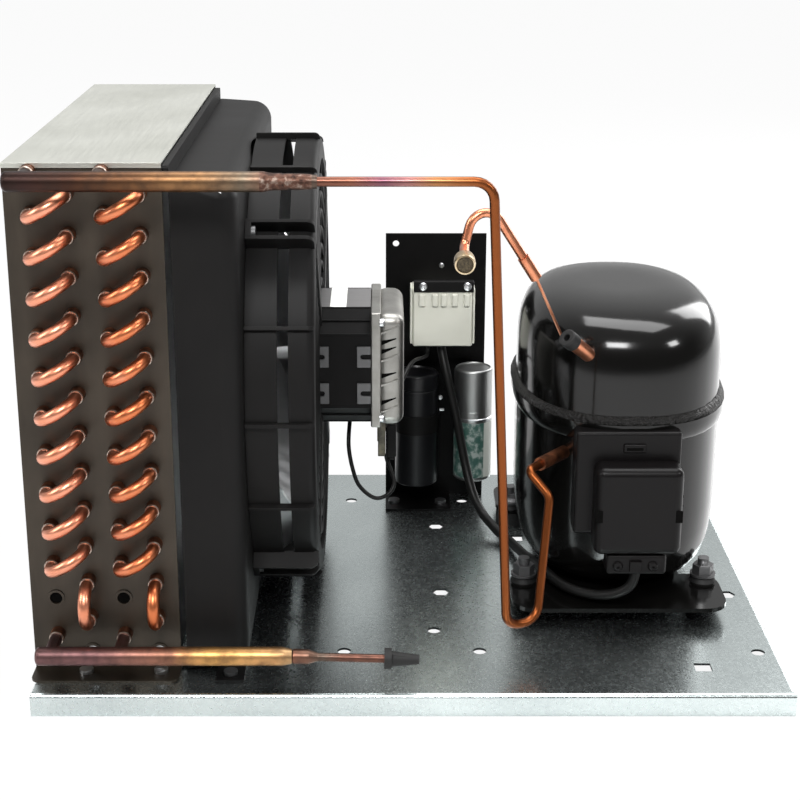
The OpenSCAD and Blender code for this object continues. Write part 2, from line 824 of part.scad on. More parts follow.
module coil_rear_plate() {
    color([0.30, 0.28, 0.24]) difference() {
        union() {
            translate([coil_x0, coil_y1 - plate_t, coil_z0]) cube([coil_w, plate_t, coil_h - cover_t]);
            translate([0, 0, coil_z0]) foot_plate(coil_y1 + foot_r / 2, coil_y1 + rear_foot_l, foot_r / 2);
            translate([coil_x0, coil_y1, coil_z0]) cube([coil_w, foot_r, plate_t]);
        }
        tube_holes(coil_y1 - plate_t - over, plate_t + 2 * over, tube_r + sleeve_gap);
        for (at = coil_screw_places) translate([at[0], at[1], coil_z0 - over])
            cylinder(d = screw_hole_d, h = plate_t + 2 * over);
    }
}

module coil_top_cover() {
    lip_z = coil_z1 - cover_lip;
    color([0.80, 0.81, 0.79]) difference() {
        union() {
            translate([coil_x0, coil_y0 - cover_t, coil_z1 - cover_t])
                cube([coil_w, coil_d + 2 * cover_t, cover_t]);
            translate([coil_x0, coil_y0 - cover_t, lip_z]) cube([coil_w, cover_t, cover_lip]);
            translate([coil_x0, coil_y1, lip_z]) cube([coil_w, cover_t, cover_lip]);
        }
        for (i = [0 : col_n - 1], y = [coil_y0 - cover_t, coil_y1]) translate([col_x(i), y - over, row_z(i, row_n - 1)])
            rotate([-90, 0, 0]) cylinder(r = bell_r + seat_gap, h = cover_t + 2 * over);
    }
}

module coil_bottom_cover() {
    color([0.66, 0.69, 0.70]) translate([fin_x0, fin_y0, coil_z0]) cube([fin_x1 - fin_x0, fin_y1 - fin_y0, cover_t]);
}

module fin_pack() {
    edge = [for (k = [0 : fin_gaps]) each concat(
        k > 0 ? [[fin_slot, k * fin_step]] : [],
        [[0, k * fin_step], [0, k * fin_step + fin_t]],
        k < fin_gaps ? [[fin_slot, k * fin_step + fin_t]] : []
    )];
    w = fin_x1 - fin_x0;
    far_edge = [for (k = [len(edge) - 1 : -1 : 0]) [w - edge[k][0], edge[k][1]]];
    color([0.78, 0.80, 0.82]) difference() {
        translate([fin_x0, fin_y0, coil_z0 + cover_t])
            linear_extrude(coil_h - 2 * cover_t) polygon(concat(edge, far_edge));
        tube_holes(fin_y0 - over, fin_y1 - fin_y0 + 2 * over, tube_r + sleeve_gap);
    }
}

// Puts its child midway between two holes [i, j], with X along the line from one to the other
module between_holes(pair, y) {
    a = [col_x(pair[0]), row_z(pair[0], pair[1])];
    b = [col_x(pair[2]), row_z(pair[2], pair[3])];
    translate([(a[0] + b[0]) / 2, y, (a[1] + b[1]) / 2]) rotate([0, -atan2(b[1] - a[1], b[0] - a[0]), 0]) children();
}

// Half turn of tube in the plane of X and Y
module tube_arc() {
    rotate_extrude(angle = 180) translate([row_pitch / 2, 0]) ring(tube_r, tube_wall);
}

module belled_tube() {
    l = coil_d + hairpin_leg;
    rotate_extrude() polygon([
        [tube_r - tube_wall, 0], [tube_r, 0], [tube_r, l], [bell_r, l], [bell_r, l + bell_l],
        [bell_r - bell_wall, l + bell_l], [bell_r - bell_wall, l + bell_step], [tube_r - tube_wall, l + bell_step]
    ]);
}

// Pairs of holes that a hairpin joins behind the coil
hairpin_pairs = [for (i = [0 : 2 : col_n - 2]) each concat(
    [[i, 0, i + 1, 1]],
    [for (j = [2 : row_n - 1]) [i, j, i + 1, j]]
)];

module hairpin_tubes() {
    color([0.62, 0.36, 0.20]) for (pair = hairpin_pairs) between_holes(pair, coil_y1 + hairpin_leg) {
        for (way = [-1, 1]) translate([way * row_pitch / 2, 0, 0]) rotate([90, 0, 0]) belled_tube();
        tube_arc();
    }
}

// Pairs of holes that a bend joins in front of the coil
bend_pairs = [for (i = [0 : 2 : col_n - 2]) each concat(
    [[i + 1, 1, i + 1, 2]],
    [for (j = [2 : row_n - 2]) [i, j, i + 1, j + 1]]
)];

module return_bends() {
    color([0.86, 0.50, 0.34]) for (pair = bend_pairs) between_holes(pair, coil_y0 - bend_leg) {
        for (way = [-1, 1]) translate([way * row_pitch / 2, 0, 0]) rotate([-90, 0, 0])
            tube(tube_r, tube_wall, bend_leg - bell_step - seat_gap);
        rotate([0, 0, 180]) tube_arc();
    }
}

module braze_rings() {
    color([0.75, 0.73, 0.70]) for (at = tube_places)
        translate([col_x(at[0]), coil_y0 - bell_l, row_z(at[0], at[1])]) rotate([90, 0, 0])
            rotate_extrude() polygon([
                [tube_r + sleeve_gap, 0], [bell_r, 0], [bell_r - bell_wall / 2, braze_w], [tube_r + sleeve_gap, braze_w]
            ]);
}

module coil_screws() {
    color([0.75, 0.76, 0.78]) for (at = coil_screw_places)
        translate([at[0], at[1], coil_z0 + plate_t]) screw(plate_t + screw_tail);
}

// Headers and lines

// Straight stubs from a header's axis to the bells of the tubes in row j
module header_stubs(j, r) {
    for (i = [0 : 2 : col_n - 1]) translate([col_x(i), header_y, row_z(i, j)]) rotate([-90, 0, 0])
        cylinder(r = r, h = coil_y0 - bell_step - seat_gap - header_y);
}

// Profile of a header along its axis, closed and rounded at its start, narrowed at its end
function header_profile(r, l, neck_r, neck_l) = concat(
    [[0, 0]],
    [for (a = [0 : 15 : 90]) [r * (0.5 + 0.5 * sin(a)), r * 0.5 * (1 - cos(a))]],
    [[r, l], [neck_r, l + header_taper], [neck_r, l + header_taper + neck_l], [0, l + header_taper + neck_l]]
);

module header(z, l, neck_r, bore_r, neck_l, j) {
    r = header_d / 2;
    difference() {
        union() {
            translate([coil_x0 + header_end_set, header_y, z]) rotate([0, 90, 0])
                rotate_extrude() polygon(header_profile(r, l, neck_r, neck_l));
            header_stubs(j, tube_r);
        }
        translate([coil_x0 + header_end_set + header_wall, header_y, z]) rotate([0, 90, 0])
            rotate_extrude() polygon(header_profile(r - header_wall, l - header_wall, bore_r, neck_l + over));
        intersection() {
            header_stubs(j, tube_r - tube_wall);
            translate([coil_x0, header_y, z - header_d]) cube([coil_w, header_set, 2 * header_d]);
        }
    }
}

module upper_header() {
    color([0.55, 0.36, 0.25]) header(header_up_z, header_up_x1 - coil_x0 - header_end_set,
        line_sleeve_r, line_r + sleeve_gap, line_sleeve_l, row_n - 1);
}

module lower_header() {
    color([0.55, 0.36, 0.25]) header(header_low_z, header_low_x1 - coil_x0 - header_end_set,
        outlet_joint_d / 2, outlet_d / 2 - line_wall, 0, 0);
}

// Frame of the outlet tube, which hangs down a little from the header's end
module at_outlet() {
    translate([outlet_x0, header_y, header_low_z]) rotate([0, 90 + outlet_tilt, 0]) children();
}

module liquid_outlet_tube() {
    r = outlet_d / 2;
    color([0.70, 0.40, 0.28]) at_outlet() rotate_extrude() polygon([
        [r - line_wall, 0], [outlet_joint_d / 2 - line_wall, 0], [outlet_joint_d / 2, line_wall],
        [outlet_joint_d / 2, outlet_joint_l - header_taper], [r, outlet_joint_l],
        [r, outlet_joint_l + outlet_l], [r - line_wall, outlet_joint_l + outlet_l]
    ]);
}

module outlet_cap() {
    z0 = outlet_joint_l + outlet_l - cap_insert;
    bore_r = outlet_d / 2 + sleeve_gap;
    color([0.08, 0.08, 0.08]) at_outlet() translate([0, 0, z0]) rotate_extrude() polygon([
        [bore_r, 0], [cap_flange_d / 2, 0], [cap_flange_d / 2, cap_flange_l], [cap_body_d / 2, cap_flange_l],
        [cap_tip_d / 2, cap_l], [0, cap_l], [0, cap_insert + seat_gap], [bore_r, cap_insert + seat_gap]
    ]);
}

module discharge_line() {
    color([0.82, 0.45, 0.30]) bent_tube(bent_line(line_points, line_bends), line_r, line_wall, 12);
}

// Fan

module fan_shroud() {
    x_face = shroud_x1 - shroud_r;
    y0 = coil_y0 - shroud_over_y;
    y1 = coil_y1 + shroud_over_y;
    cavity_x = shroud_x1 - 0.65 * shroud_r;
    inset = shroud_t + 0.57 * shroud_r;
    color([0.13, 0.12, 0.11]) difference() {
        union() {
            upright(coil_x1, shroud_flange) polygon(round_rect(
                coil_y0 + shroud_over_y, coil_y1 - shroud_over_y, coil_z0, coil_z1 - shroud_over_y, shroud_t));
            hull() {
                upright(coil_x1 + shroud_flange, shroud_t)
                    polygon(round_rect(y0, y1, coil_z0, shroud_top_z, shroud_t, 2));
                for (y = [y0 + shroud_r, y1 - shroud_r], z = [coil_z0 + shroud_r, shroud_top_z - shroud_r])
                    translate([x_face, y, z]) sphere(r = shroud_r, $fn = 32);
            }
            translate([shroud_foot_at[0] - screw_head_d, shroud_foot_at[1] - screw_head_d, coil_z0])
                cube([2 * screw_head_d, y0 - shroud_foot_at[1] + screw_head_d + shroud_r, shroud_t]);
        }
        upright(coil_x1 - over, cavity_x - coil_x1 + over)
            polygon(round_rect(y0 + shroud_t, y1 - shroud_t, coil_z0 + shroud_t, shroud_top_z - shroud_t, shroud_t));
        upright(coil_x1 - over, shroud_x1 - shroud_t - coil_x1 + over)
            polygon(round_rect(y0 + inset, y1 - inset, coil_z0 + inset, shroud_top_z - inset, shroud_t));
        on_fan_axis(shroud_x1 - shroud_r) cylinder(r = guard_bore_r, h = 2 * shroud_r, $fn = 96);
        for (a = lug_angles) on_fan_axis(shroud_x1 - 2 * shroud_t) rotate([0, 0, a])
            translate([lug_screw_r, 0, 0]) cylinder(d = screw_hole_d, h = 4 * shroud_t);
        translate([shroud_foot_at[0], shroud_foot_at[1], coil_z0 - over])
            cylinder(d = screw_hole_d, h = shroud_t + 2 * over);
    }
}

module guard_ring(x0, x1) {
    on_fan_axis(x0) linear_extrude(x1 - x0) difference() {
        circle(guard_r, $fn = 96);
        circle(guard_bore_r, $fn = 96);
    }
}

// Flat bar that runs outward from r0 to r1 on the fan's axis
module spoke(a, r0, r1, w, x0, x1) {
    on_fan_axis(x0) rotate([0, 0, a]) translate([r0, -w / 2, 0]) cube([r1 - r0, w, x1 - x0]);
}

module lug(a) {
    on_fan_axis(shroud_x1) rotate([0, 0, a]) difference() {
        translate([guard_bore_r + guard_t / 2, -lug_w / 2, 0])
            cube([lug_rise + guard_t / 2, lug_w, ring_b_x1 - shroud_x1]);
        translate([guard_r + guard_t / 2, rib_t - lug_w / 2, shroud_flange])
            cube([lug_rise + over, lug_w - 2 * rib_t, ring_b_x1 - shroud_x1 + over]);
        translate([lug_screw_r, 0, -over]) cylinder(d = screw_hole_d, h = shroud_flange + 2 * over);
    }
}

module fan_guard() {
    rim_r = grille_r - rib_t;
    step = (rim_r - grille_eye_r) / (grille_n + 1);
    color([0.13, 0.12, 0.11]) {
        guard_ring(shroud_x1, ring_a_x1);
        guard_ring(ring_b_x0, ring_b_x1);
        on_fan_axis(ring_b_x1 - rib_t) linear_extrude(rib_t) difference() {
            circle(guard_bore_r + guard_t / 2, $fn = 96);
            circle(rim_r, $fn = 96);
        }
        on_fan_axis(ring_b_x1 - rib_t) linear_extrude(rib_t + ring_front) difference() {
            circle(grille_r, $fn = 96);
            circle(rim_r, $fn = 96);
        }
        on_fan_axis(grille_x0) linear_extrude(grille_t) difference() {
            circle(grille_eye_r + rib_t, $fn = 96);
            circle(grille_eye_r, $fn = 96);
        }
        for (k = [1 : grille_n]) on_fan_axis(grille_x0) linear_extrude(grille_bar) difference() {
            circle(grille_eye_r + k * step + grille_bar / 2, $fn = 96);
            circle(grille_eye_r + k * step - grille_bar / 2, $fn = 96);
        }
        for (k = [0 : rib_n - 1]) {
            a = 360 * k / rib_n;
            if (k % (rib_n / arm_n) != rib_n / arm_n / 2) {
                spoke(a, guard_bore_r + guard_t / 2, guard_r + rib_rise, rib_t, shroud_x1, ring_b_x1);
                spoke(a, grille_eye_r + rib_t / 2, rim_r + rib_t / 2, rib_t, grille_x0, grille_x1);
            }
        }
        for (a = lug_angles) {
            lug(a);
            spoke(a, grille_eye_r + rib_t / 2, rim_r + rib_t / 2, arm_w, grille_x0, grille_x1);
        }
    }
}

module shroud_screws() {
    color([0.35, 0.35, 0.36]) {
        for (a = lug_angles) on_fan_axis(shroud_x1 + shroud_flange) rotate([0, 0, a])
            translate([lug_screw_r, 0, 0]) screw(shroud_flange + shroud_t + screw_tail);
        translate([shroud_foot_at[0], shroud_foot_at[1], coil_z0 + shroud_t]) screw(shroud_t + screw_tail);
    }
}

module fan_blade() {
    hub_r = fan_hub_d / 2;
    half_tip = asin(blade_tip_w / fan_d);
    outline = concat(
        [[hub_r - hub_wall, -blade_root_w / 2]],
        [for (k = [-4 : 4]) fan_d / 2 * [cos(half_tip * k / 4), sin(half_tip * k / 4)]],
        [[hub_r - hub_wall, blade_root_w / 2]]
    );
    color([0.74, 0.75, 0.76]) on_fan_axis(fan_x0) {
        difference() {
            cylinder(r = hub_r, h = hub_l);
            translate([0, 0, hub_wall]) cylinder(r = hub_r - hub_wall, h = hub_l);
            translate([0, 0, -over]) cylinder(r = motor_shaft_d / 2 + sleeve_gap, h = hub_l);
        }
        translate([0, 0, hub_wall]) tube(motor_shaft_d, motor_shaft_d / 2 - sleeve_gap, hub_l - hub_wall);
        difference() {
            for (k = [0 : blade_n - 1]) rotate([0, 0, 360 * k / blade_n]) translate([0, 0, hub_l / 2])
                rotate([blade_pitch, 0, 0]) translate([0, 0, -blade_t / 2]) linear_extrude(blade_t) polygon(outline);
            translate([0, 0, -hub_l]) cylinder(r = hub_r - hub_wall, h = 3 * hub_l);
        }
    }
}

module fan_shaft() {
    color([0.70, 0.71, 0.73]) on_fan_axis(fan_x0 + hub_wall)
        cylinder(d = motor_shaft_d, h = stack_x1 + shield_l - bearing_l / 2 - fan_x0 - 2 * hub_wall);
}

module fan_rotor() {
    color([0.45, 0.46, 0.48]) on_fan_axis(stack_x0)
        tube(motor_rotor_d / 2, (motor_rotor_d - motor_shaft_d) / 2 - sleeve_gap, stack_l);
}

// Square outline of the motor with its corners cut off
module stack_outline(w, cut) {
    h = w / 2;
    polygon([[h, cut - h], [h, h - cut], [h - cut, h], [cut - h, h], [-h, h - cut], [-h, cut - h], [cut - h, -h],
        [h - cut, -h]]);
}

module winding_holes(d) {
    for (a = lug_angles) rotate([0, 0, a]) translate([winding_r, 0]) circle(d = d);
}

module motor_stator() {
    color([0.10, 0.10, 0.10]) on_fan_axis(stack_x0) linear_extrude(stack_l) difference() {
        stack_outline(motor_w, motor_chamfer);
        circle(d = stator_bore_d);
        winding_holes(winding_d + 2 * seat_gap);
    }
}

module motor_windings() {
    color([0.65, 0.35, 0.20]) on_fan_axis(stack_x0) linear_extrude(stack_l) winding_holes(winding_d);
}

module motor_end_shield() {
    boss_r = bearing_d / 2 + shield_wall;
    top_side = 0.88 * shield_side;
    rim_l = 0.35 * shield_l;
    color([0.78, 0.79, 0.80]) on_fan_axis(stack_x1) difference() {
        union() {
            difference() {
                hull() {
                    linear_extrude(rim_l) polygon(round_rect(
                        -shield_side / 2, shield_side / 2, -shield_side / 2, shield_side / 2, shield_r));
                    linear_extrude(shield_l) polygon(round_rect(
                        -top_side / 2, top_side / 2, -top_side / 2, top_side / 2, shield_r));
                }
                translate([0, 0, -over]) linear_extrude(rim_l + over) polygon(round_rect(
                    shield_wall - shield_side / 2, shield_side / 2 - shield_wall,
                    shield_wall - shield_side / 2, shield_side / 2 - shield_wall, shield_r - shield_wall));
                linear_extrude(shield_l - shield_wall) polygon(round_rect(
                    shield_wall - top_side / 2, top_side / 2 - shield_wall,
                    shield_wall - top_side / 2, top_side / 2 - shield_wall, shield_r - shield_wall));
                for (k = [0 : 7]) rotate([0, 0, 45 * k + 22.5])
                    translate([boss_r + shield_wall, -shield_slot_w / 2, 0.3 * shield_l])
                        cube([shield_side, shield_slot_w, shield_l]);
            }
            translate([0, 0, shield_l - 2 * bearing_l]) cylinder(r = boss_r, h = 2 * bearing_l);
        }
        translate([0, 0, shield_l - 2 * bearing_l - over])
            cylinder(d = bearing_d + 2 * sleeve_gap, h = 2 * bearing_l + over - shield_wall);
    }
}

module motor_inner_shield() {
    boss_r = bearing_d / 2 + shield_wall;
    color([0.12, 0.12, 0.12]) on_fan_axis(stack_x0 - inner_shield_l) difference() {
        union() {
            translate([0, 0, inner_shield_l - shield_wall]) linear_extrude(shield_wall)
                stack_outline(motor_w, motor_chamfer);
            cylinder(r1 = boss_r, r2 = 2 * boss_r, h = inner_shield_l);
        }
        translate([0, 0, inner_shield_l - bearing_l]) cylinder(d = bearing_d + 2 * sleeve_gap, h = bearing_l + over);
        translate([0, 0, -over]) cylinder(d = motor_shaft_d + 4 * seat_gap, h = inner_shield_l);
    }
}

module bearing() {
    tube(bearing_d / 2, (bearing_d - motor_shaft_d) / 2 - run_gap, bearing_l - 2 * seat_gap);
}

module motor_bearings() {
    color([0.72, 0.60, 0.35]) {
        on_fan_axis(stack_x0 - bearing_l + seat_gap) bearing();
        on_fan_axis(stack_x1 + shield_l - shield_wall - bearing_l + seat_gap) bearing();
    }
}

module motor_tabs() {
    color([0.72, 0.74, 0.75]) for (x = [stack_x0, stack_x1 - tab_l], way = [-1, 1], z = [tab_set_up, -tab_set_down])
        translate([x, fan_y + way * (motor_w + tab_t) / 2 - tab_t / 2, fan_z + z - tab_h / 2]) difference() {
            cube([tab_l, tab_t, tab_h]);
            translate([-over, -over, (tab_h - tab_slot_w) / 2])
                cube([tab_l / 2 + over, tab_t + 2 * over, tab_slot_w]);
        }
}

module motor_connector() {
    z1 = fan_z - shield_side / 2 - seat_gap;
    color([0.16, 0.16, 0.16]) translate([stack_x1 + connector_t / 2, fan_y - connector_w / 2, z1 - connector_h])
        difference() {
            cube([connector_t, connector_w, connector_h]);
            translate([2 * tab_t, -over, 2 * tab_t])
                cube([connector_t, connector_w / 2, connector_h - 4 * tab_t]);
        }
}

module fan_lead() {
    color([0.07, 0.07, 0.07]) cable(lead_points, lead_d, 5, 8);
}

module fan_supply_lead() {
    color([0.07, 0.07, 0.07]) cable(fan_supply_points, lead_d, 5, 8);
}

// Controls

module control_bracket() {
    color([0.10, 0.10, 0.10]) difference() {
        union() {
            translate([bracket_x0, bracket_y, tray_h]) cube([bracket_w, bracket_t, bracket_h]);
            translate([bracket_x0, bracket_y - bracket_foot_l, tray_h])
                cube([bracket_foot_w, bracket_foot_l + bracket_t, bracket_t]);
        }
        translate([bracket_x0 + bracket_hole_inset[0], bracket_y - over, bracket_z1 - bracket_hole_inset[1]])
            rotate([-90, 0, 0]) cylinder(d = bracket_hole_d, h = bracket_t + 2 * over);
        for (at = bracket_screw_places) translate([at[0], at[1], tray_h - over])
            cylinder(d = screw_hole_d, h = bracket_t + 2 * over);
    }
}

module bracket_screws() {
    color([0.75, 0.76, 0.78]) for (at = bracket_screw_places)
        translate([at[0], at[1], tray_h + bracket_t]) screw(bracket_t + screw_tail);
}

module terminal_box() {
    color([0.72, 0.75, 0.71]) translate([box_x0, bracket_y - box_d, box_z0]) {
        cube([box_w, box_d, box_h - clamp_h]);
        translate([0, clamp_t + seat_gap, 0]) cube([box_w, box_d - clamp_t - seat_gap, box_h]);
    }
}

module terminal_clamp() {
    lump_r = clamp_t / 2;
    color([0.45, 0.48, 0.45]) translate([box_x0, bracket_y - box_d, box_z0 + box_h - clamp_h]) {
        cube([box_w, clamp_t, clamp_h]);
        for (k = [0.5 : clamp_n - 0.5]) translate([box_w * k / clamp_n, 0, 0])
            cylinder(r = lump_r, h = clamp_h);
    }
}

module capacitor(at, d, l, rim) {
    translate(at) {
        cylinder(d = d, h = l - rim);
        cylinder(d = d - 2 * rim, h = l);
    }
}

module start_capacitor() {
    color([0.09, 0.09, 0.10]) capacitor(start_cap_at, start_cap_d, start_cap_l, cap_rim);
}

module run_capacitor() {
    color([0.75, 0.77, 0.78]) capacitor(run_cap_at, run_cap_d, run_cap_l, cap_rim);
}

// Band round a capacitor, with a leg back to the bracket
module strap(at, d) {
    r = d / 2 + seat_gap;
    difference() {
        union() {
            cylinder(r = r + strap_t, h = strap_h);
            translate([-strap_h / 2, 0, 0]) cube([strap_h, bracket_y - at[1], strap_h]);
        }
        translate([0, 0, -over]) cylinder(r = r, h = strap_h + 2 * over);
    }
}

module capacitor_straps() {
    color([0.12, 0.12, 0.12]) {
        translate(start_cap_at + [0, 0, start_cap_l / 2]) strap(start_cap_at, start_cap_d);
        translate(run_cap_at + [0, 0, run_cap_l / 2]) strap(run_cap_at, run_cap_d);
    }
}

// Compressor

module compressor_base() {
    color([0.07, 0.07, 0.07]) translate([comp_x, comp_y, base_z0]) difference() {
        linear_extrude(base_t) {
            for (way = [-1, 1]) translate([0, way * (base_l - base_bar_l) / 2]) polygon(round_rect(
                -base_bar_w / 2, base_bar_w / 2, -base_bar_l / 2, base_bar_l / 2, base_corner_r));
            square([base_waist_w, base_l - base_bar_l], center = true);
        }
        for (at = foot_places) translate([at[0] - comp_x, at[1] - comp_y, -over])
            cylinder(d = grommet_neck_d + 2 * seat_gap, h = base_t + 2 * over);
    }
}

module foot_grommets() {
    bore_r = foot_bolt_d / 2 + seat_gap;
    color([0.06, 0.06, 0.06]) for (at = foot_places) translate([at[0], at[1], tray_h]) rotate_extrude() polygon([
        [bore_r, 0], [grommet_d / 2, 0], [grommet_d / 2, grommet_h], [grommet_neck_d / 2, grommet_h],
        [grommet_neck_d / 2, grommet_h + base_t], [grommet_d / 2 - grommet_top_h / 4, grommet_h + base_t],
        [grommet_neck_d / 2, grommet_h + base_t + grommet_top_h], [bore_r, grommet_h + base_t + grommet_top_h]
    ]);
}

module foot_bolts() {
    top = base_z1 + grommet_top_h;
    low = tray_h - tray_t - nut_h;
    color([0.62, 0.64, 0.66]) for (at = foot_places) translate([at[0], at[1], 0]) {
        translate([0, 0, low]) cylinder(d = foot_bolt_d, h = top + washer_t + nut_h + stud_tail - low);
        translate([0, 0, low]) cylinder(d = nut_w / cos(30), h = nut_h, $fn = 6);
        translate([0, 0, top]) cylinder(d = washer_d, h = washer_t);
        translate([0, 0, top + washer_t]) cylinder(d = nut_w / cos(30), h = nut_h, $fn = 6);
    }
}

module lower_shell() {
    n = len(cup_angles);
    rim_z = seam_top - flare_h;
    drop = base_z1 - rim_z;
    color([0.05, 0.05, 0.055]) skin(concat(
        [plan_ring(wall_share * pow(cos(cup_angles[n - 1]), 2 / lower_power) / 2, 0, base_z1)],
        [for (k = [n - 1 : -1 : 0]) cup_ring(cup_angles[k], lower_power, rim_z, drop, 0)],
        [for (a = [15 : 15 : 90]) plan_ring(wall_share + (1 - wall_share) * sin(a), 0, seam_top - flare_h * cos(a))],
        [plan_ring(wall_share, shell_t, seam_top)],
        [for (k = [0 : n - 1]) cup_ring(cup_angles[k], lower_power, rim_z, drop, shell_t)]
    ));
}

module upper_shell() {
    n = len(cup_angles);
    top_share = wall_share * pow(cos(cup_angles[n - 1]), 2 / upper_power) / 2;
    color([0.05, 0.05, 0.055]) skin(concat(
        [for (k = [n - 1 : -1 : 0]) cup_ring(cup_angles[k], upper_power, seam_top, upper_h, shell_t)],
        [for (k = [0 : n - 1]) cup_ring(cup_angles[k], upper_power, seam_top, upper_h, 0)],
        [plan_ring(top_share, 0, seam_top + upper_h)]
    ));
}

module shell_weld() {
    color([0.12, 0.12, 0.12]) skin([for (i = [0 : shell_seg - 1]) [for (s = weld_shares)
        plan_point(360 * (i + 0.5) / shell_seg, shell_a * wall_share + s[0] * brim_w,
            shell_b * wall_share + s[0] * brim_w, seam_top + s[1] * seam_t)
    ]], true);
}

// Outline of the terminal cover, inset all round, with its back on the shell
module cover_outline(inset, gap) {
    x0 = shell_x + tcover_shift - tcover_w / 2 + inset;
    x1 = x0 + tcover_w - 2 * inset;
    y0 = comp_y - shell_b * wall_share - tcover_depth + inset;
    r = tcover_r - inset;
    polygon(concat(
        [for (a = [180 : 15 : 270]) [x0 + r + r * cos(a), y0 + r + r * sin(a)]],
        [for (a = [270 : 15 : 360]) [x1 - r + r * cos(a), y0 + r + r * sin(a)]],
        [for (k = [12 : -1 : 0]) let (x = x0 + (x1 - x0) * k / 12) [x, shell_front(x, gap)]]
    ));
}

// Slab of the cover's flange, with its back on the shell at the given share
module cover_shoulder(h, share) {
    x0 = shell_x + shoulder_shift - shoulder_w / 2;
    y0 = comp_y - shell_b * wall_share - shoulder_d;
    linear_extrude(h) polygon(concat(
        [[x0, y0], [x0 + shoulder_w, y0]],
        [for (k = [12 : -1 : 0]) let (x = x0 + shoulder_w * k / 12) [x, shell_front(x, seat_gap, share)]]
    ));
}

module terminal_cover() {
    y_front = comp_y - shell_b * wall_share;
    flare_z = seam_top - flare_h - tcover_z0;
    color([0.09, 0.09, 0.095]) translate([0, 0, tcover_z0]) {
        difference() {
            union() {
                linear_extrude(tcover_h) cover_outline(0, seat_gap);
                translate([0, 0, shoulder_low]) cover_shoulder(flare_z - shoulder_low, wall_share);
                translate([0, 0, shoulder_low]) cover_shoulder(tcover_h + shoulder_h - shoulder_low, 1);
            }
            translate([0, 0, tcover_wall]) linear_extrude(tcover_h - 2 * tcover_wall)
                cover_outline(tcover_wall, -over);
        }
        translate([shell_x - latch_w / 2, y_front - shoulder_d - tcover_wall, tcover_h + latch_h])
            cube([latch_w, tcover_wall, latch_h]);
    }
}

module start_relay() {
    translate([
        shell_x + tcover_shift - relay_w / 2,
        comp_y - shell_b * wall_share - tcover_depth + tcover_wall + seat_gap,
        tcover_z0 + (tcover_h - relay_h) / 2
    ]) color([0.80, 0.78, 0.72]) cube([relay_w, relay_d, relay_h]);
}

module cord_clamp() {
    y0 = comp_y - shell_b * wall_share - tcover_depth;
    color([0.08, 0.08, 0.08]) translate([shell_x + tcover_shift - cord_clamp_w / 2, y0, tcover_z0 - cord_clamp_h])
        cube([cord_clamp_w, cord_clamp_d, cord_clamp_h - seat_gap]);
}

module supply_cable() {
    color([0.07, 0.07, 0.07]) cable(supply_points, supply_d, 4, 10);
}

module discharge_stub() {
    wall = stub_d / 2 - line_r - sleeve_gap;
    color([0.45, 0.28, 0.20]) aim(stub_base - unit(stub_way) * pipe_sink, stub_way)
        tube(stub_d / 2, wall, stub_l + pipe_sink);
}

module suction_connector() {
    color([0.50, 0.30, 0.20]) aim(suction_base - unit(suction_way) * pipe_sink, suction_way)
        tube(suction_d / 2, suction_wall, suction_l + pipe_sink);
}

module suction_plug() {
    bore_r = suction_d / 2 + sleeve_gap;
    grip = suction_plug_l / 2;
    color([0.06, 0.06, 0.06]) aim(suction_base + unit(suction_way) * (suction_l - grip), suction_way)
        rotate_extrude() polygon([
            [bore_r, 0], [suction_plug_d / 2, 0], [suction_plug_d / 2, suction_plug_l], [0, suction_plug_l],
            [0, grip + seat_gap], [bore_r, grip + seat_gap]
        ]);
}

module service_tube() {
    sleeve_end = service_end + unit(service_end - service_top) * service_sleeve_l;
    color([0.80, 0.46, 0.32]) {
        bent_tube(bent_line([service_face, service_low, service_top, service_end], [0, service_r / 2, service_r, 0]),
            service_d / 2, line_wall, 12);
        aim(service_end, service_end - service_top) cylinder(d = service_d + 2 * line_wall, h = service_sleeve_l);
        aim(sleeve_end, capillary_base - sleeve_end)
            cylinder(d = capillary_d, h = norm(capillary_base - sleeve_end) + pipe_sink);
    }
}

module service_fitting() {
    bore_r = service_d / 2 + sleeve_gap;
    color([0.72, 0.50, 0.36]) aim(service_face + unit(service_low - service_face) * fitting_l * 0.8,
        service_face - service_low) rotate_extrude() polygon([
            [bore_r, 0], [service_d / 2 + line_wall, 0], [fitting_d / 2, fitting_l / 4], [fitting_d / 2, fitting_l],
            [0, fitting_l], [0, 0.8 * fitting_l + seat_gap], [bore_r, 0.8 * fitting_l + seat_gap]
        ]);
}

// Pump inside the shell

module at_pump(z) {
    translate([shell_x, pump_y, z]) children();
}

module pump_block() {
    boss_r = bearing_boss_d / 2;
    post_l = plate_z0 - stack_z1 - seat_gap;
    color([0.40, 0.41, 0.42]) at_pump(0) difference() {
        union() {
            translate([-block_w / 2, -block_l / 2 - cylinder_l / 4, plate_z0]) cube([block_w, block_l, block_plate_t]);
            translate([0, 0, plate_z0 - bearing_boss_l]) cylinder(r = boss_r, h = bearing_boss_l);
            translate([-cylinder_w / 2, -cylinder_y - cylinder_l, plate_z0])
                cube([cylinder_w, cylinder_l, piston_z + cylinder_w / 2 - plate_z0]);
            for (x = [-1, 1], y = [-1, 1]) translate([x * post_set, y * post_set, plate_z0 - post_l])
                cylinder(d = post_d, h = post_l);
        }
        translate([0, 0, plate_z0 - bearing_boss_l - over])
            cylinder(r = crank_d / 2 + run_gap, h = bearing_boss_l + block_plate_t + 2 * over);
        translate([0, -cylinder_y + over, piston_z]) rotate([90, 0, 0])
            cylinder(r = piston_d / 2 + run_gap, h = cylinder_l + 2 * over);
    }
}

module valve_plate() {
    color([0.60, 0.62, 0.64]) at_pump(piston_z) translate([-cylinder_w / 2, -cylinder_y - cylinder_l - valve_t, -cylinder_w / 2])
        cube([cylinder_w, valve_t, cylinder_w]);
}

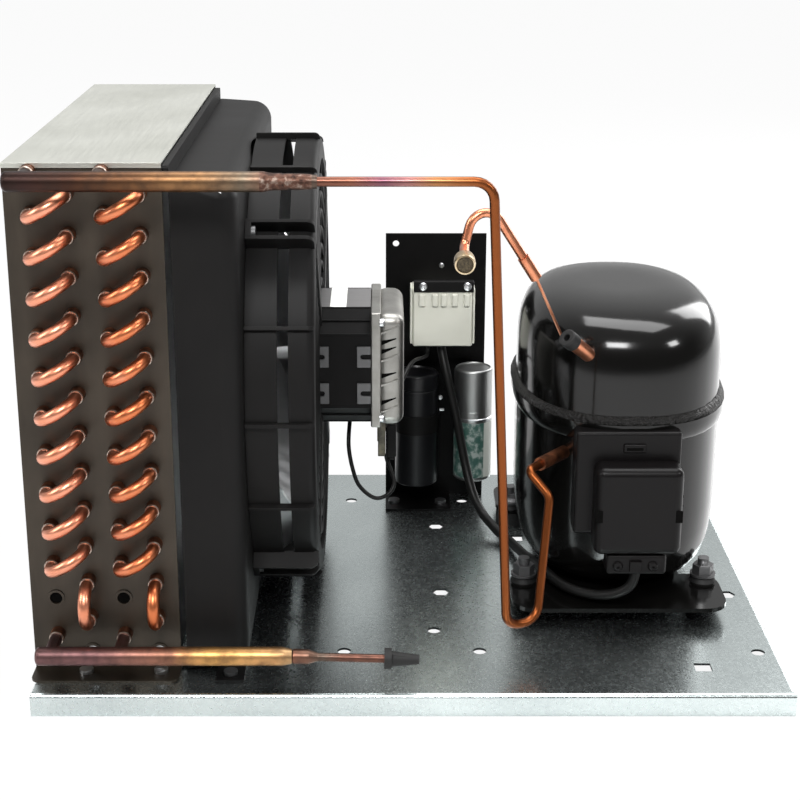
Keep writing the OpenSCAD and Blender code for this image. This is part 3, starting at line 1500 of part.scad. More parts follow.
module winding_slots(d) {
    r = cstack_bore_d / 2 + coil_head_t;
    for (a = [0 : 45 : 315]) rotate([0, 0, a]) translate([r, 0]) circle(d = d);
}

module pump_stator() {
    color([0.42, 0.43, 0.45]) at_pump(stack_z0) linear_extrude(cstack_h) difference() {
        polygon(round_rect(-cstack_w / 2, cstack_w / 2, -cstack_w / 2, cstack_w / 2, post_d));
        circle(d = cstack_bore_d);
        winding_slots(coil_head_t);
    }
}

module stator_windings() {
    r = cstack_bore_d / 2 + coil_head_t;
    color([0.66, 0.36, 0.20]) {
        at_pump(stack_z0 - coil_head_h) linear_extrude(coil_head_h - seat_gap) ring(r + coil_head_t / 2, coil_head_t);
        at_pump(stack_z1 + seat_gap) linear_extrude(coil_head_h - seat_gap) ring(r + coil_head_t / 2, coil_head_t);
        at_pump(stack_z0 - seat_gap) linear_extrude(cstack_h + 2 * seat_gap) winding_slots(coil_head_t - 2 * seat_gap);
    }
}

module pump_rotor() {
    color([0.50, 0.51, 0.53]) at_pump(stack_z0) tube(crotor_d / 2, (crotor_d - crank_d) / 2 - sleeve_gap, cstack_h);
}

module crankshaft() {
    color([0.55, 0.56, 0.58]) at_pump(0) {
        translate([0, 0, stack_z0]) cylinder(d = crank_d, h = crank_web_z0 - stack_z0);
        translate([0, 0, crank_web_z0]) cylinder(d = crank_web_d, h = crank_web_t);
        translate([crank_throw, 0, crank_web_z0]) cylinder(d = pin_d, h = pin_z1 - crank_web_z0);
    }
}

module piston() {
    y0 = -yoke_size[1] / 2 - rod_l;
    color([0.62, 0.63, 0.65]) at_pump(piston_z) {
        translate([0, 0, -yoke_h / 2]) linear_extrude(yoke_h) difference() {
            square(yoke_size, center = true);
            square(yoke_window, center = true);
        }
        translate([-rod_w / 2, y0, -rod_w / 2]) cube([rod_w, rod_l, rod_w]);
        translate([0, y0, 0]) rotate([90, 0, 0]) cylinder(d = piston_d, h = piston_l);
    }
}

module suspension_springs() {
    color([0.60, 0.61, 0.63]) for (x = [-1, 1], y = [-1, 1])
        at_pump(spring_z0) translate([x * spring_set, y * spring_set, 0])
            tube(spring_d / 2, spring_d / 5, stack_z0 - spring_z0 - seat_gap);
}

base_tray();
coil_front_plate();
coil_rear_plate();
coil_top_cover();
coil_bottom_cover();
fin_pack();
hairpin_tubes();
return_bends();
braze_rings();
coil_screws();
upper_header();
lower_header();
liquid_outlet_tube();
outlet_cap();
discharge_line();
fan_shroud();
fan_guard();
shroud_screws();
fan_blade();
fan_shaft();
fan_rotor();
motor_stator();
motor_windings();
motor_end_shield();
motor_inner_shield();
motor_bearings();
motor_tabs();
motor_connector();
fan_lead();
fan_supply_lead();
control_bracket();
bracket_screws();
terminal_box();
terminal_clamp();
start_capacitor();
run_capacitor();
capacitor_straps();
compressor_base();
foot_grommets();
foot_bolts();
lower_shell();
upper_shell();
shell_weld();
terminal_cover();
start_relay();
cord_clamp();
supply_cable();
discharge_stub();
suction_connector();
suction_plug();
service_tube();
service_fitting();
pump_block();
pump_stator();
stator_windings();
pump_rotor();
crankshaft();
piston();
valve_plate();
suspension_springs();
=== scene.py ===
# Condensing unit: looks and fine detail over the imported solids.
import json
import math

import bpy
from mathutils import Matrix, Vector

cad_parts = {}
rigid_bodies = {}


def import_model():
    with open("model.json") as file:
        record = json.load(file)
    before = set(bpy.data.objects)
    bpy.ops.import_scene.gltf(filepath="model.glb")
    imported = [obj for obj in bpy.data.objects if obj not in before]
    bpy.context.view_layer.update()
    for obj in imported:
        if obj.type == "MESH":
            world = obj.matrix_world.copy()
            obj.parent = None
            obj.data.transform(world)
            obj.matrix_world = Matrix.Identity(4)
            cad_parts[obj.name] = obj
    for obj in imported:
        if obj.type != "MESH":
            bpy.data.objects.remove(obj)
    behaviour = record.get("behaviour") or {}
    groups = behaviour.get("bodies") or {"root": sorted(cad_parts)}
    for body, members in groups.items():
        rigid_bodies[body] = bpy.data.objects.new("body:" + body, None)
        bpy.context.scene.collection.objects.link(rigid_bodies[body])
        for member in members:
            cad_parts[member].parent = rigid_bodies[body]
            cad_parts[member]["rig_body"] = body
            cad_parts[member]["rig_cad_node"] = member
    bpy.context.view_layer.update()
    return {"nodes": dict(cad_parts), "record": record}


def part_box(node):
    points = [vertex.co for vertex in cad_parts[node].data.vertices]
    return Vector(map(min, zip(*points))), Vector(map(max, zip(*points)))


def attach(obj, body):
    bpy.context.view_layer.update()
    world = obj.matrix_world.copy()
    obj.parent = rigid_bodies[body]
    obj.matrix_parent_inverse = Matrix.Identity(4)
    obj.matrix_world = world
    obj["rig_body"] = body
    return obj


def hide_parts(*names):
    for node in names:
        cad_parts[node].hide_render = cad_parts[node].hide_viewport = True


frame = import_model()
nodes = frame["nodes"]
body_of_node = {
    node: body
    for body, members in frame["record"]["behaviour"]["bodies"].items()
    for node in members
}
slot_of_node = {part["node"]: part["material_slot"] for part in frame["record"]["subparts"]}

# Places and sizes of pieces are in millimetres, and the helpers turn them into metres
MM = 0.001
FAN_Y, FAN_Z = 9.5, 177.5
FAN_AXIS = (0.0, FAN_Y, FAN_Z)
RIGHT, FRONT, UP = (1.0, 0.0, 0.0), (0.0, -1.0, 0.0), (0.0, 0.0, 1.0)
EVEN = (1.0, 1.0, 1.0)
BRUSHED_ALONG_X = (0.1, 1.0, 1.0)


# Camera at the photograph's angle, with focal length and shift in its pixels

PHOTO_WIDTH = 800.0
FOCAL_PIXELS = 1681.0
SHIFT_PIXELS = 17.0
SENSOR_WIDTH = 36.0
LOOK_DOWN = 18.3
CAMERA_PLACE = (-18.2, -1142.9, 523.9)


def set_camera():
    lens = bpy.data.cameras.new("front_camera")
    lens.sensor_width = SENSOR_WIDTH
    lens.lens = FOCAL_PIXELS * SENSOR_WIDTH / PHOTO_WIDTH
    lens.shift_x = SHIFT_PIXELS / PHOTO_WIDTH
    lens.clip_start = 0.05
    lens.clip_end = 60.0
    camera = bpy.data.objects.new("front_camera", lens)
    bpy.context.scene.collection.objects.link(camera)
    camera.location = [place * MM for place in CAMERA_PLACE]
    camera.rotation_euler = (math.radians(90.0 - LOOK_DOWN), 0.0, 0.0)
    bpy.context.scene.camera = camera


set_camera()


# Cords: thickness in metres, stiffness, corners of the route

SPAN_STEPS = 8

cord_routes = {
    "supply_cable": (0.007, "medium", [
        (28, 124, 152), (28, 124, 146), (32, 116, 128), (39, 108, 98), (46, 98, 63), (52, 86, 41),
        (59, 74, 29), (66, 61, 24), (72, 50, 21), (78, 37, 21), (87, 0, 25), (93, -32, 33),
        (103, -64, 34), (114, -80, 34), (128, -90, 35), (141, -96, 39), (150, -98, 46), (153, -98, 57),
    ]),
    "fan_lead": (0.003, "limp", [
        (-42, 10, 136), (-42, 10, 130), (-43, -1, 112), (-40, -1, 93), (-35, -1, 80), (-24, -1, 71),
        (-14, 0, 74), (-10, 4, 82), (-15, 9, 96), (-16, 9, 101.3),
    ]),
    "fan_supply_lead": (0.003, "limp", [
        (-16, 16.5, 118), (-16, 24, 118), (-12, 44, 126), (-4, 62, 140), (4, 80, 149.5),
        (13.2, 104, 146.2), (16.2, 114.5, 145.2), (16.9, 119, 147.8), (17, 120, 152),
    ]),
}


def pick(piece):
    bpy.ops.object.select_all(action="DESELECT")
    piece.select_set(True)
    bpy.context.view_layer.objects.active = piece


def curve_at(a, b, c, d, t):
    return (2 * b + (c - a) * t + (2 * a - 5 * b + 4 * c - d) * t * t + (3 * b - a - 3 * c + d) * t ** 3) / 2


def smooth_route(points):
    last = len(points) - 1
    route = []
    for i in range(last):
        a, b, c, d = (points[max(i - 1, 0)], points[i], points[i + 1], points[min(i + 2, last)])
        route.extend(curve_at(a, b, c, d, k / SPAN_STEPS) for k in range(SPAN_STEPS))
    return route + [points[last]]


def lay_cord(node, thickness, stiffness, corners):
    route = smooth_route([Vector(corner) * MM for corner in corners])
    curve = bpy.data.curves.new(node + "_run", "CURVE")
    curve.dimensions = "3D"
    curve.bevel_depth = thickness / 2
    curve.bevel_resolution = 4
    curve.use_fill_caps = True
    line = curve.splines.new("POLY")
    line.points.add(len(route) - 1)
    for spot, place in zip(line.points, route):
        spot.co = (*place, 1.0)
    line.use_smooth = True
    cord = bpy.data.objects.new(node + "_run", curve)
    bpy.context.scene.collection.objects.link(cord)
    pick(cord)
    bpy.ops.object.convert(target="MESH")
    cord = bpy.context.active_object
    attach(cord, body_of_node[node])
    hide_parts(node)
    return cord


cords = {node: lay_cord(node, *route) for node, route in cord_routes.items()}


# Nodes of a material, or of the world

NOISE_ROUGHNESS = 0.55


def add_node(owner, kind, values=(), **settings):
    node = owner.node_tree.nodes.new(kind)
    for name, value in settings.items():
        setattr(node, name, value)
    for socket, value in dict(values).items():
        node.inputs[socket].default_value = value
    return node


def join(owner, output, socket):
    owner.node_tree.links.new(output, socket)


def feed(owner, socket, value):
    if isinstance(value, bpy.types.NodeSocket):
        join(owner, value, socket)
    elif isinstance(value, float):
        socket.default_value = value
    else:
        socket.default_value = (*value, 1.0)


def shader_of(material):
    return material.node_tree.nodes["Principled BSDF"]


def plain_finish(name, colour, roughness, metallic=0.0, gloss=0.5):
    material = bpy.data.materials.new(name)
    material.use_nodes = True
    shader = shader_of(material)
    shader.inputs["Base Color"].default_value = (*colour, 1.0)
    shader.inputs["Roughness"].default_value = roughness
    shader.inputs["Metallic"].default_value = metallic
    shader.inputs["Specular IOR Level"].default_value = gloss
    return material


def placed(material, stretch=EVEN):
    where = add_node(material, "ShaderNodeTexCoord")
    mapping = add_node(material, "ShaderNodeMapping", {"Scale": stretch})
    join(material, where.outputs["Object"], mapping.inputs["Vector"])
    return mapping.outputs["Vector"]


def along(material, axis):
    split = add_node(material, "ShaderNodeSeparateXYZ")
    join(material, placed(material), split.inputs["Vector"])
    return split.outputs[axis]


def noise(material, scale, detail=3.0, stretch=EVEN):
    texture = add_node(material, "ShaderNodeTexNoise", {
        "Scale": scale, "Detail": detail, "Roughness": NOISE_ROUGHNESS,
    })
    join(material, placed(material, stretch), texture.inputs["Vector"])
    return texture.outputs["Fac"]


def ramp(material, value, stops):
    node = add_node(material, "ShaderNodeValToRGB")
    elements = node.color_ramp.elements
    while len(elements) < len(stops):
        elements.new(0.5)
    for element, (place, colour) in zip(elements, stops):
        element.position = place
        element.color = (*colour, 1.0)
    join(material, value, node.inputs["Fac"])
    return node.outputs["Color"]


def between(owner, value, low, high, start=0.0, end=1.0, curve="LINEAR"):
    node = add_node(owner, "ShaderNodeMapRange", {
        "From Min": start, "From Max": end, "To Min": low, "To Max": high,
    }, interpolation_type=curve)
    join(owner, value, node.inputs["Value"])
    return node.outputs["Result"]


def mixed(material, share, first, second):
    node = add_node(material, "ShaderNodeMix", data_type="RGBA", blend_type="MIX")
    for socket, value in ((node.inputs[0], share), (node.inputs[6], first), (node.inputs[7], second)):
        feed(material, socket, value)
    return node.outputs[2]


def combined(owner, first, second, way="ADD"):
    node = add_node(owner, "ShaderNodeMath", operation=way)
    for socket, value in zip(node.inputs, (first, second)):
        feed(owner, socket, value)
    return node.outputs[0]


def coloured(material, value, stops):
    join(material, ramp(material, value, stops), shader_of(material).inputs["Base Color"])


def roughened(material, value, low, high):
    join(material, between(material, value, low, high), shader_of(material).inputs["Roughness"])


def bumped(material, height, depth, strength):
    node = add_node(material, "ShaderNodeBump", {"Distance": depth, "Strength": strength})
    join(material, height, node.inputs["Height"])
    join(material, node.outputs["Normal"], shader_of(material).inputs["Normal"])


# Finishes of one colour: colour, roughness, metallic, gloss, the grain, lowest and highest roughness

grained_finishes = {
    "fin_aluminium": ((0.70, 0.71, 0.72), 0.35, 1.0, 0.5, (90.0, 3.0), 0.28, 0.48),
    "zinc_steel": ((0.58, 0.59, 0.60), 0.3, 1.0, 0.5, (300.0, 3.0), 0.22, 0.42),
    "tab_steel": ((0.11, 0.11, 0.112), 0.45, 0.8, 0.5, (500.0, 3.0), 0.36, 0.55),
    "bright_steel": ((0.60, 0.60, 0.61), 0.28, 1.0, 0.5, (400.0, 3.0, BRUSHED_ALONG_X), 0.2, 0.4),
    "stack_steel": ((0.30, 0.31, 0.33), 0.45, 1.0, 0.5, (300.0, 3.0), 0.35, 0.55),
    "grey_sheet": ((0.22, 0.215, 0.215), 0.42, 0.8, 0.5, (400.0, 3.0, BRUSHED_ALONG_X), 0.36, 0.5),
    "can_aluminium": ((0.34, 0.345, 0.34), 0.36, 1.0, 0.5, (300.0, 3.0, (1.0, 1.0, 0.08)), 0.32, 0.48),
    "winding_copper": ((0.45, 0.2, 0.1), 0.35, 0.9, 0.5, (300.0, 3.0), 0.3, 0.5),
    "bronze": ((0.45, 0.32, 0.16), 0.4, 1.0, 0.5, (300.0, 3.0), 0.3, 0.5),
    "gloss_black_plastic": ((0.006, 0.006, 0.007), 0.3, 0.0, 0.35, (80.0, 3.0), 0.24, 0.4),
    "black_cable": ((0.005, 0.005, 0.0048), 0.42, 0.0, 0.18, (90.0, 3.0), 0.36, 0.52),
    "plain_paper": ((0.80, 0.81, 0.78), 0.6, 0.0, 0.5, (300.0, 2.0), 0.5, 0.7),
    "relay_plastic": ((0.6, 0.57, 0.48), 0.45, 0.0, 0.5, (200.0, 2.0), 0.4, 0.55),
}


def grained(name):
    colour, roughness, metallic, gloss, grain, low, high = grained_finishes[name]
    material = plain_finish(name, colour, roughness, metallic, gloss)
    roughened(material, noise(material, *grain), low, high)
    return material


# Finishes with a drift of colour

def galvanised_sheet():
    zinc = plain_finish("galvanised_sheet", (0.50, 0.56, 0.56), 0.30, 1.0)
    spangle = add_node(zinc, "ShaderNodeTexVoronoi", {"Scale": 620.0}, feature="F1")
    join(zinc, placed(zinc), spangle.inputs["Vector"])
    cell = add_node(zinc, "ShaderNodeSeparateColor")
    join(zinc, spangle.outputs["Color"], cell.inputs[0])
    patch = combined(zinc, combined(zinc, cell.outputs[0], 0.14, "MULTIPLY"), noise(zinc, 9.0, 4.0))
    coloured(zinc, patch, [(0.35, (0.45, 0.50, 0.50)), (0.8, (0.57, 0.625, 0.62))])
    roughened(zinc, cell.outputs[1], 0.225, 0.285)
    bumped(zinc, cell.outputs[2], 0.00002, 0.04)
    return zinc


def coated_plate():
    plate = plain_finish("coated_plate", (0.05, 0.043, 0.033), 0.42, 0.6)
    streak = noise(plate, 60.0, 4.0, (1.0, 1.0, 0.12))
    both = combined(plate, noise(plate, 16.0, 5.0), streak, "MULTIPLY")
    coloured(plate, both, [(0.1, (0.020, 0.015, 0.010)), (0.5, (0.056, 0.044, 0.032))])
    roughened(plate, streak, 0.30, 0.5)
    bumped(plate, streak, 0.0002, 0.2)
    return plate


def cover_sheet():
    sheet = plain_finish("cover_sheet", (0.58, 0.59, 0.55), 0.36, 0.9)
    brush = noise(sheet, 500.0, 3.0, (1.0, 0.05, 1.0))
    coloured(sheet, noise(sheet, 14.0, 4.0), [(0.3, (0.47, 0.475, 0.43)), (0.7, (0.56, 0.565, 0.52))])
    roughened(sheet, brush, 0.34, 0.5)
    bumped(sheet, brush, 0.0001, 0.2)
    return sheet


def bright_copper():
    copper = plain_finish("bright_copper", (0.60, 0.24, 0.13), 0.26, 1.0)
    coloured(copper, noise(copper, 45.0, 4.0), [
        (0.25, (0.42, 0.13, 0.065)), (0.5, (0.62, 0.25, 0.14)), (0.8, (0.76, 0.36, 0.23)),
    ])
    roughened(copper, noise(copper, 160.0), 0.22, 0.4)
    return copper


def bend_copper():
    copper = plain_finish("bend_copper", (0.62, 0.25, 0.15), 0.24, 1.0)
    fade = between(copper, along(copper, 0), 0.75, 0.25, -0.243, -0.150)
    place = combined(copper, fade, combined(copper, noise(copper, 70.0, 4.0), 0.5, "MULTIPLY"))
    coloured(copper, place, [
        (0.40, (0.44, 0.115, 0.035)), (0.62, (0.52, 0.16, 0.070)), (0.95, (0.66, 0.28, 0.18)),
    ])
    roughened(copper, noise(copper, 160.0), 0.28, 0.42)
    return copper


def dark_copper():
    copper = plain_finish("dark_copper", (0.30, 0.13, 0.07), 0.4, 1.0)
    stain = noise(copper, 120.0, 4.0)
    coloured(copper, stain, [
        (0.3, (0.085, 0.035, 0.02)), (0.6, (0.26, 0.10, 0.05)), (0.8, (0.42, 0.18, 0.09)),
    ])
    roughened(copper, stain, 0.3, 0.55)
    return copper


def drifting_place(material, start, end, drift_scale, drift_detail):
    drift = noise(material, drift_scale, drift_detail)
    place = between(material, along(material, 0), 0.0, 1.0, start, end)
    return combined(material, place, between(material, drift, -0.05, 0.05))


def header_copper(name, stops):
    copper = plain_finish(name, (0.35, 0.18, 0.12), 0.32, 1.0)
    tint = ramp(copper, drifting_place(copper, -0.2435, -0.0435, 38.0, 4.0), stops)
    mottle = noise(copper, 130.0, 4.0)
    soot = mixed(copper, between(copper, mottle, 0.0, 0.55, 0.42, 0.7), tint, (0.028, 0.020, 0.017))
    join(copper, soot, shader_of(copper).inputs["Base Color"])
    roughened(copper, mottle, 0.34, 0.52)
    bumped(copper, mottle, 0.0003, 0.25)
    return copper


def upper_header_copper():
    return header_copper("upper_header_copper", [
        (0.0, (0.018, 0.012, 0.010)), (0.10, (0.034, 0.019, 0.017)), (0.24, (0.046, 0.022, 0.015)),
        (0.40, (0.11, 0.052, 0.025)), (0.60, (0.21, 0.112, 0.052)), (0.74, (0.125, 0.098, 0.070)),
        (0.84, (0.19, 0.085, 0.055)), (0.93, (0.09, 0.066, 0.052)), (1.0, (0.12, 0.056, 0.041)),
    ])


def lower_header_copper():
    return header_copper("lower_header_copper", [
        (0.0, (0.11, 0.06, 0.06)), (0.22, (0.15, 0.075, 0.075)), (0.46, (0.24, 0.11, 0.07)),
        (0.58, (0.50, 0.27, 0.09)), (0.80, (0.42, 0.23, 0.10)), (0.90, (0.25, 0.20, 0.12)),
        (1.0, (0.42, 0.14, 0.08)),
    ])


def line_copper():
    copper = plain_finish("line_copper", (0.50, 0.18, 0.08), 0.24, 1.0)
    coloured(copper, drifting_place(copper, -0.060, 0.060, 30.0, 3.0), [
        (0.0, (0.11, 0.050, 0.036)), (0.20, (0.17, 0.068, 0.045)), (0.36, (0.14, 0.060, 0.080)),
        (0.46, (0.23, 0.105, 0.10)), (0.58, (0.27, 0.12, 0.050)), (0.78, (0.20, 0.062, 0.020)),
        (1.0, (0.175, 0.050, 0.015)),
    ])
    roughened(copper, noise(copper, 200.0), 0.30, 0.42)
    return copper


def silver_braze():
    braze = plain_finish("silver_braze", (0.50, 0.42, 0.36), 0.35, 1.0)
    bumped(braze, noise(braze, 700.0, 2.0), 0.0004, 0.6)
    return braze


def joint_braze():
    braze = plain_finish("joint_braze", (0.12, 0.09, 0.075), 0.5, 1.0)
    lump = noise(braze, 260.0, 4.0)
    coloured(braze, lump, [
        (0.34, (0.030, 0.018, 0.015)), (0.54, (0.10, 0.052, 0.038)), (0.70, (0.24, 0.19, 0.16)),
    ])
    bumped(braze, lump, 0.0012, 0.7)
    return braze


def black_rubber():
    rubber = plain_finish("black_rubber", (0.009, 0.009, 0.009), 0.62, 0.0, 0.3)
    bumped(rubber, noise(rubber, 1200.0, 2.0), 0.0001, 0.3)
    roughened(rubber, noise(rubber, 60.0), 0.5, 0.75)
    return rubber


def black_plastic():
    plastic = plain_finish("black_plastic", (0.004, 0.0038, 0.004), 0.5, 0.0, 0.12)
    cloud = noise(plastic, 12.0, 4.0)
    coloured(plastic, cloud, [(0.3, (0.0032, 0.003, 0.0031)), (0.7, (0.0062, 0.0058, 0.0056))])
    roughened(plastic, cloud, 0.42, 0.58)
    bumped(plastic, noise(plastic, 1500.0, 2.0), 0.0001, 0.25)
    return plastic


def stack_paint():
    paint = plain_finish("black_paint", (0.0026, 0.0024, 0.0024), 0.4, 0.0, 0.13)
    layers = add_node(paint, "ShaderNodeTexWave", {"Scale": 620.0, "Distortion": 0.6},
                      wave_type="BANDS", bands_direction="X")
    join(paint, placed(paint), layers.inputs["Vector"])
    bumped(paint, layers.outputs["Fac"], 0.00012, 0.5)
    roughened(paint, noise(paint, 50.0), 0.32, 0.5)
    return paint


def cast_aluminium():
    cast = plain_finish("cast_aluminium", (0.52, 0.52, 0.50), 0.4, 1.0)
    coloured(cast, noise(cast, 40.0, 4.0), [(0.3, (0.21, 0.205, 0.19)), (0.7, (0.34, 0.335, 0.315))])
    roughened(cast, noise(cast, 120.0, 4.0), 0.34, 0.52)
    bumped(cast, noise(cast, 500.0), 0.0003, 0.4)
    return cast


def grey_plastic():
    plastic = plain_finish("grey_plastic", (0.60, 0.60, 0.52), 0.42)
    coloured(plastic, noise(plastic, 25.0), [(0.3, (0.55, 0.55, 0.475)), (0.7, (0.62, 0.62, 0.545))])
    roughened(plastic, noise(plastic, 400.0, 2.0), 0.36, 0.5)
    return plastic


def shell_enamel():
    enamel = plain_finish("shell_black", (0.0025, 0.0024, 0.0022), 0.12, 0.0, 0.26)
    shader = shader_of(enamel)
    shader.inputs["Coat Weight"].default_value = 0.1
    shader.inputs["Coat Roughness"].default_value = 0.05
    roughened(enamel, noise(enamel, 55.0), 0.10, 0.19)
    bumped(enamel, noise(enamel, 160.0, 2.0), 0.0002, 0.12)
    return enamel


def weld_enamel():
    enamel = plain_finish("weld_black", (0.005, 0.0045, 0.004), 0.42, 0.0, 0.3)
    bumped(enamel, noise(enamel, 420.0, 5.0), 0.0040, 1.0)
    return enamel


def cover_black():
    plastic = plain_finish("cover_black", (0.0042, 0.0037, 0.0038), 0.34, 0.0, 0.12)
    roughened(plastic, noise(plastic, 60.0), 0.26, 0.38)
    bumped(plastic, noise(plastic, 900.0, 2.0), 0.0001, 0.2)
    return plastic


def mottled_band():
    band = plain_finish("mottled_band", (0.06, 0.12, 0.10), 0.4)
    mottle = noise(band, 210.0, 4.0, (1.0, 1.0, 0.8))
    tint = ramp(band, mottle, [
        (0.42, (0.030, 0.085, 0.070)), (0.52, (0.09, 0.15, 0.13)), (0.60, (0.26, 0.30, 0.28)),
    ])
    margin = between(band, along(band, 0), 0.0, 1.0, 0.0615, 0.0622)
    join(band, mixed(band, margin, tint, (0.48, 0.50, 0.46)), shader_of(band).inputs["Base Color"])
    roughened(band, mottle, 0.35, 0.5)
    return band


def olive_plastic():
    plastic = plain_finish("olive_plastic", (0.085, 0.075, 0.045), 0.45)
    coloured(plastic, noise(plastic, 160.0), [(0.4, (0.05, 0.044, 0.026)), (0.65, (0.14, 0.125, 0.08))])
    return plastic


def tan_brass():
    brass = plain_finish("tan_brass", (0.52, 0.40, 0.24), 0.34, 1.0)
    coloured(brass, noise(brass, 220.0), [(0.35, (0.40, 0.29, 0.16)), (0.65, (0.62, 0.52, 0.36))])
    return brass


def worn_core():
    core = plain_finish("worn_core", (0.05, 0.038, 0.02), 0.5, 0.5)
    grain = noise(core, 900.0)
    coloured(core, grain, [(0.4, (0.030, 0.022, 0.012)), (0.62, (0.085, 0.066, 0.036))])
    bumped(core, grain, 0.0003, 0.6)
    return core


# Painted shade: a near-black matte finish for dark pieces set into holes, slots and vents, where there is
# only shade
def painted_hole_shade():
    shade_paint = plain_finish("painted_hole_shade", (0.0016, 0.0015, 0.0014), 0.8, 0.0, 0.05)
    coloured(shade_paint, noise(shade_paint, 300.0, 2.0), [
        (0.3, (0.0012, 0.0011, 0.001)), (0.7, (0.0022, 0.002, 0.0018)),
    ])
    return shade_paint


def cast_iron():
    iron = plain_finish("cast_iron", (0.12, 0.12, 0.125), 0.55, 0.9)
    bumped(iron, noise(iron, 500.0), 0.0004, 0.5)
    return iron


# The finish of each material slot, then finishes for pieces that differ from their slot

finishes = {
    "galvanised_sheet": galvanised_sheet(),
    "coated_plate": coated_plate(),
    "cover_sheet": cover_sheet(),
    "dark_copper": dark_copper(),
    "bright_copper": bright_copper(),
    "tinted_copper": upper_header_copper(),
    "braze": silver_braze(),
    "black_rubber": black_rubber(),
    "black_plastic": black_plastic(),
    "black_paint": stack_paint(),
    "cast_aluminium": cast_aluminium(),
    "grey_plastic": grey_plastic(),
    "clamp_plastic": grey_plastic(),
    "shell_black": shell_enamel(),
    "cover_black": cover_black(),
    "cast_iron": cast_iron(),
}
for slot in (
    "fin_aluminium", "zinc_steel", "gloss_black_plastic", "bright_steel", "stack_steel", "winding_copper",
    "bronze", "black_cable", "can_aluminium", "relay_plastic",
):
    finishes[slot] = grained(slot)
own_finish = {
    "return_bends": bend_copper(),
    "lower_header": lower_header_copper(),
    "discharge_line": line_copper(),
    "suction_connector": bright_copper(),
    "bracket_screws": grained("zinc_steel"),
    "shroud_screws": grained("tab_steel"),
    "foot_bolts": grained("tab_steel"),
    "shell_weld": weld_enamel(),
}
tab_finish = grained("tab_steel")
sheet_finish = grained("grey_sheet")
paper_finish = grained("plain_paper")
hole_shade_finish = painted_hole_shade()
olive_finish = olive_plastic()
brass_finish = tan_brass()
core_finish = worn_core()
joint_finish = joint_braze()
band_finish = mottled_band()


def paint(piece, material):
    piece.data.materials.clear()
    piece.data.materials.append(material)


for node, piece in nodes.items():
    paint(piece, finishes[slot_of_node[node]])
for node, cord in cords.items():
    paint(cord, finishes[slot_of_node[node]])


# Shaping helpers

WELD_DISTANCE = 0.000002
EDGE_REACH = 0.00001
FLAT_ANGLE = 0.3


def settle(piece):
    pick(piece)
    bpy.ops.object.transform_apply(location=True, rotation=True, scale=True)


def soften(piece, angle=35.0):
    pick(piece)
    bpy.ops.object.shade_smooth_by_angle(angle=math.radians(angle))
    evener = piece.modifiers.new("even_normals", "WEIGHTED_NORMAL")
    evener.keep_sharp = True
    bpy.ops.object.modifier_apply(modifier="even_normals")


def round_edges(piece, width, steps=2, limit=40.0):
    pick(piece)
    rounding = piece.modifiers.new("rounding", "BEVEL")
    rounding.width = width
    rounding.segments = steps
    rounding.limit_method = "ANGLE"
    rounding.angle_limit = math.radians(limit)
    bpy.ops.object.modifier_apply(modifier="rounding")


def plain_block(name, low, high):
    bpy.ops.object.select_all(action="DESELECT")
    low, high = Vector(low) * MM, Vector(high) * MM
    bpy.ops.mesh.primitive_cube_add(size=1.0, location=(low + high) / 2, scale=high - low)
    piece = bpy.context.active_object
    piece.name = name
    settle(piece)
    return piece


def block(name, low, high, rounding=0.4, steps=2):
    piece = plain_block(name, low, high)
    round_edges(piece, rounding * MM, steps)
    soften(piece)
    return piece


def corner_plate(name, low, high, radius):
    piece = plain_block(name, low, high)
    outer_x, outer_z = high[0] * MM - EDGE_REACH, high[2] * MM - EDGE_REACH
    bpy.ops.object.mode_set(mode="EDIT")
    bpy.ops.mesh.select_all(action="DESELECT")
    bpy.ops.object.mode_set(mode="OBJECT")
    for side in piece.data.edges:
        ends = [piece.data.vertices[i].co for i in side.vertices]
        side.select = all(end.x > outer_x and end.z > outer_z for end in ends)
    bpy.ops.object.mode_set(mode="EDIT")
    bpy.ops.mesh.select_mode(type="EDGE")
    bpy.ops.mesh.bevel(offset=radius * MM, segments=6, affect="EDGES")
    bpy.ops.mesh.select_mode(type="VERT")
    bpy.ops.object.mode_set(mode="OBJECT")
    round_edges(piece, 0.3 * MM, 2, 50.0)
    soften(piece)
    return piece


def rod(name, start, end, radius, rounding=0.3, sides=32):
    bpy.ops.object.select_all(action="DESELECT")
    start, end = Vector(start) * MM, Vector(end) * MM
    way = end - start
    bpy.ops.mesh.primitive_cylinder_add(
        vertices=sides, radius=radius * MM, depth=way.length,
        location=(start + end) / 2, rotation=way.to_track_quat("Z", "Y").to_euler(),
    )
    piece = bpy.context.active_object
    piece.name = name
    settle(piece)
    round_edges(piece, rounding * MM, 2, 60.0)
    soften(piece)
    return piece


def drawn_line(name, places):
    bpy.ops.object.select_all(action="DESELECT")
    bpy.ops.mesh.primitive_plane_add(size=MM)
    piece = bpy.context.active_object
    piece.name = name
    bpy.ops.object.mode_set(mode="EDIT")
    bpy.ops.mesh.select_all(action="SELECT")
    bpy.ops.mesh.merge(type="CENTER")
    bpy.ops.transform.translate(value=places[0])
    for first, second in zip(places, places[1:]):
        bpy.ops.mesh.extrude_region_move(TRANSFORM_OT_translate={"value": second - first})
    bpy.ops.mesh.select_all(action="SELECT")
    return piece


def turned(name, centre, way, profile, steps=64, rounding=0.0):
    piece = drawn_line(name, [Vector((radius * MM, 0.0, rise * MM)) for radius, rise in profile])
    bpy.ops.mesh.spin(steps=steps, angle=math.tau, center=(0.0, 0.0, 0.0), axis=UP)
    bpy.ops.mesh.select_all(action="SELECT")
    bpy.ops.mesh.remove_doubles(threshold=WELD_DISTANCE)
    bpy.ops.mesh.normals_make_consistent(inside=False)
    bpy.ops.object.mode_set(mode="OBJECT")
    turn = Vector(way).to_track_quat("Z", "Y").to_matrix().to_4x4()
    piece.matrix_world = Matrix.Translation(Vector(centre) * MM) @ turn
    settle(piece)
    if rounding:
        round_edges(piece, rounding * MM, 2)
    soften(piece)
    return piece


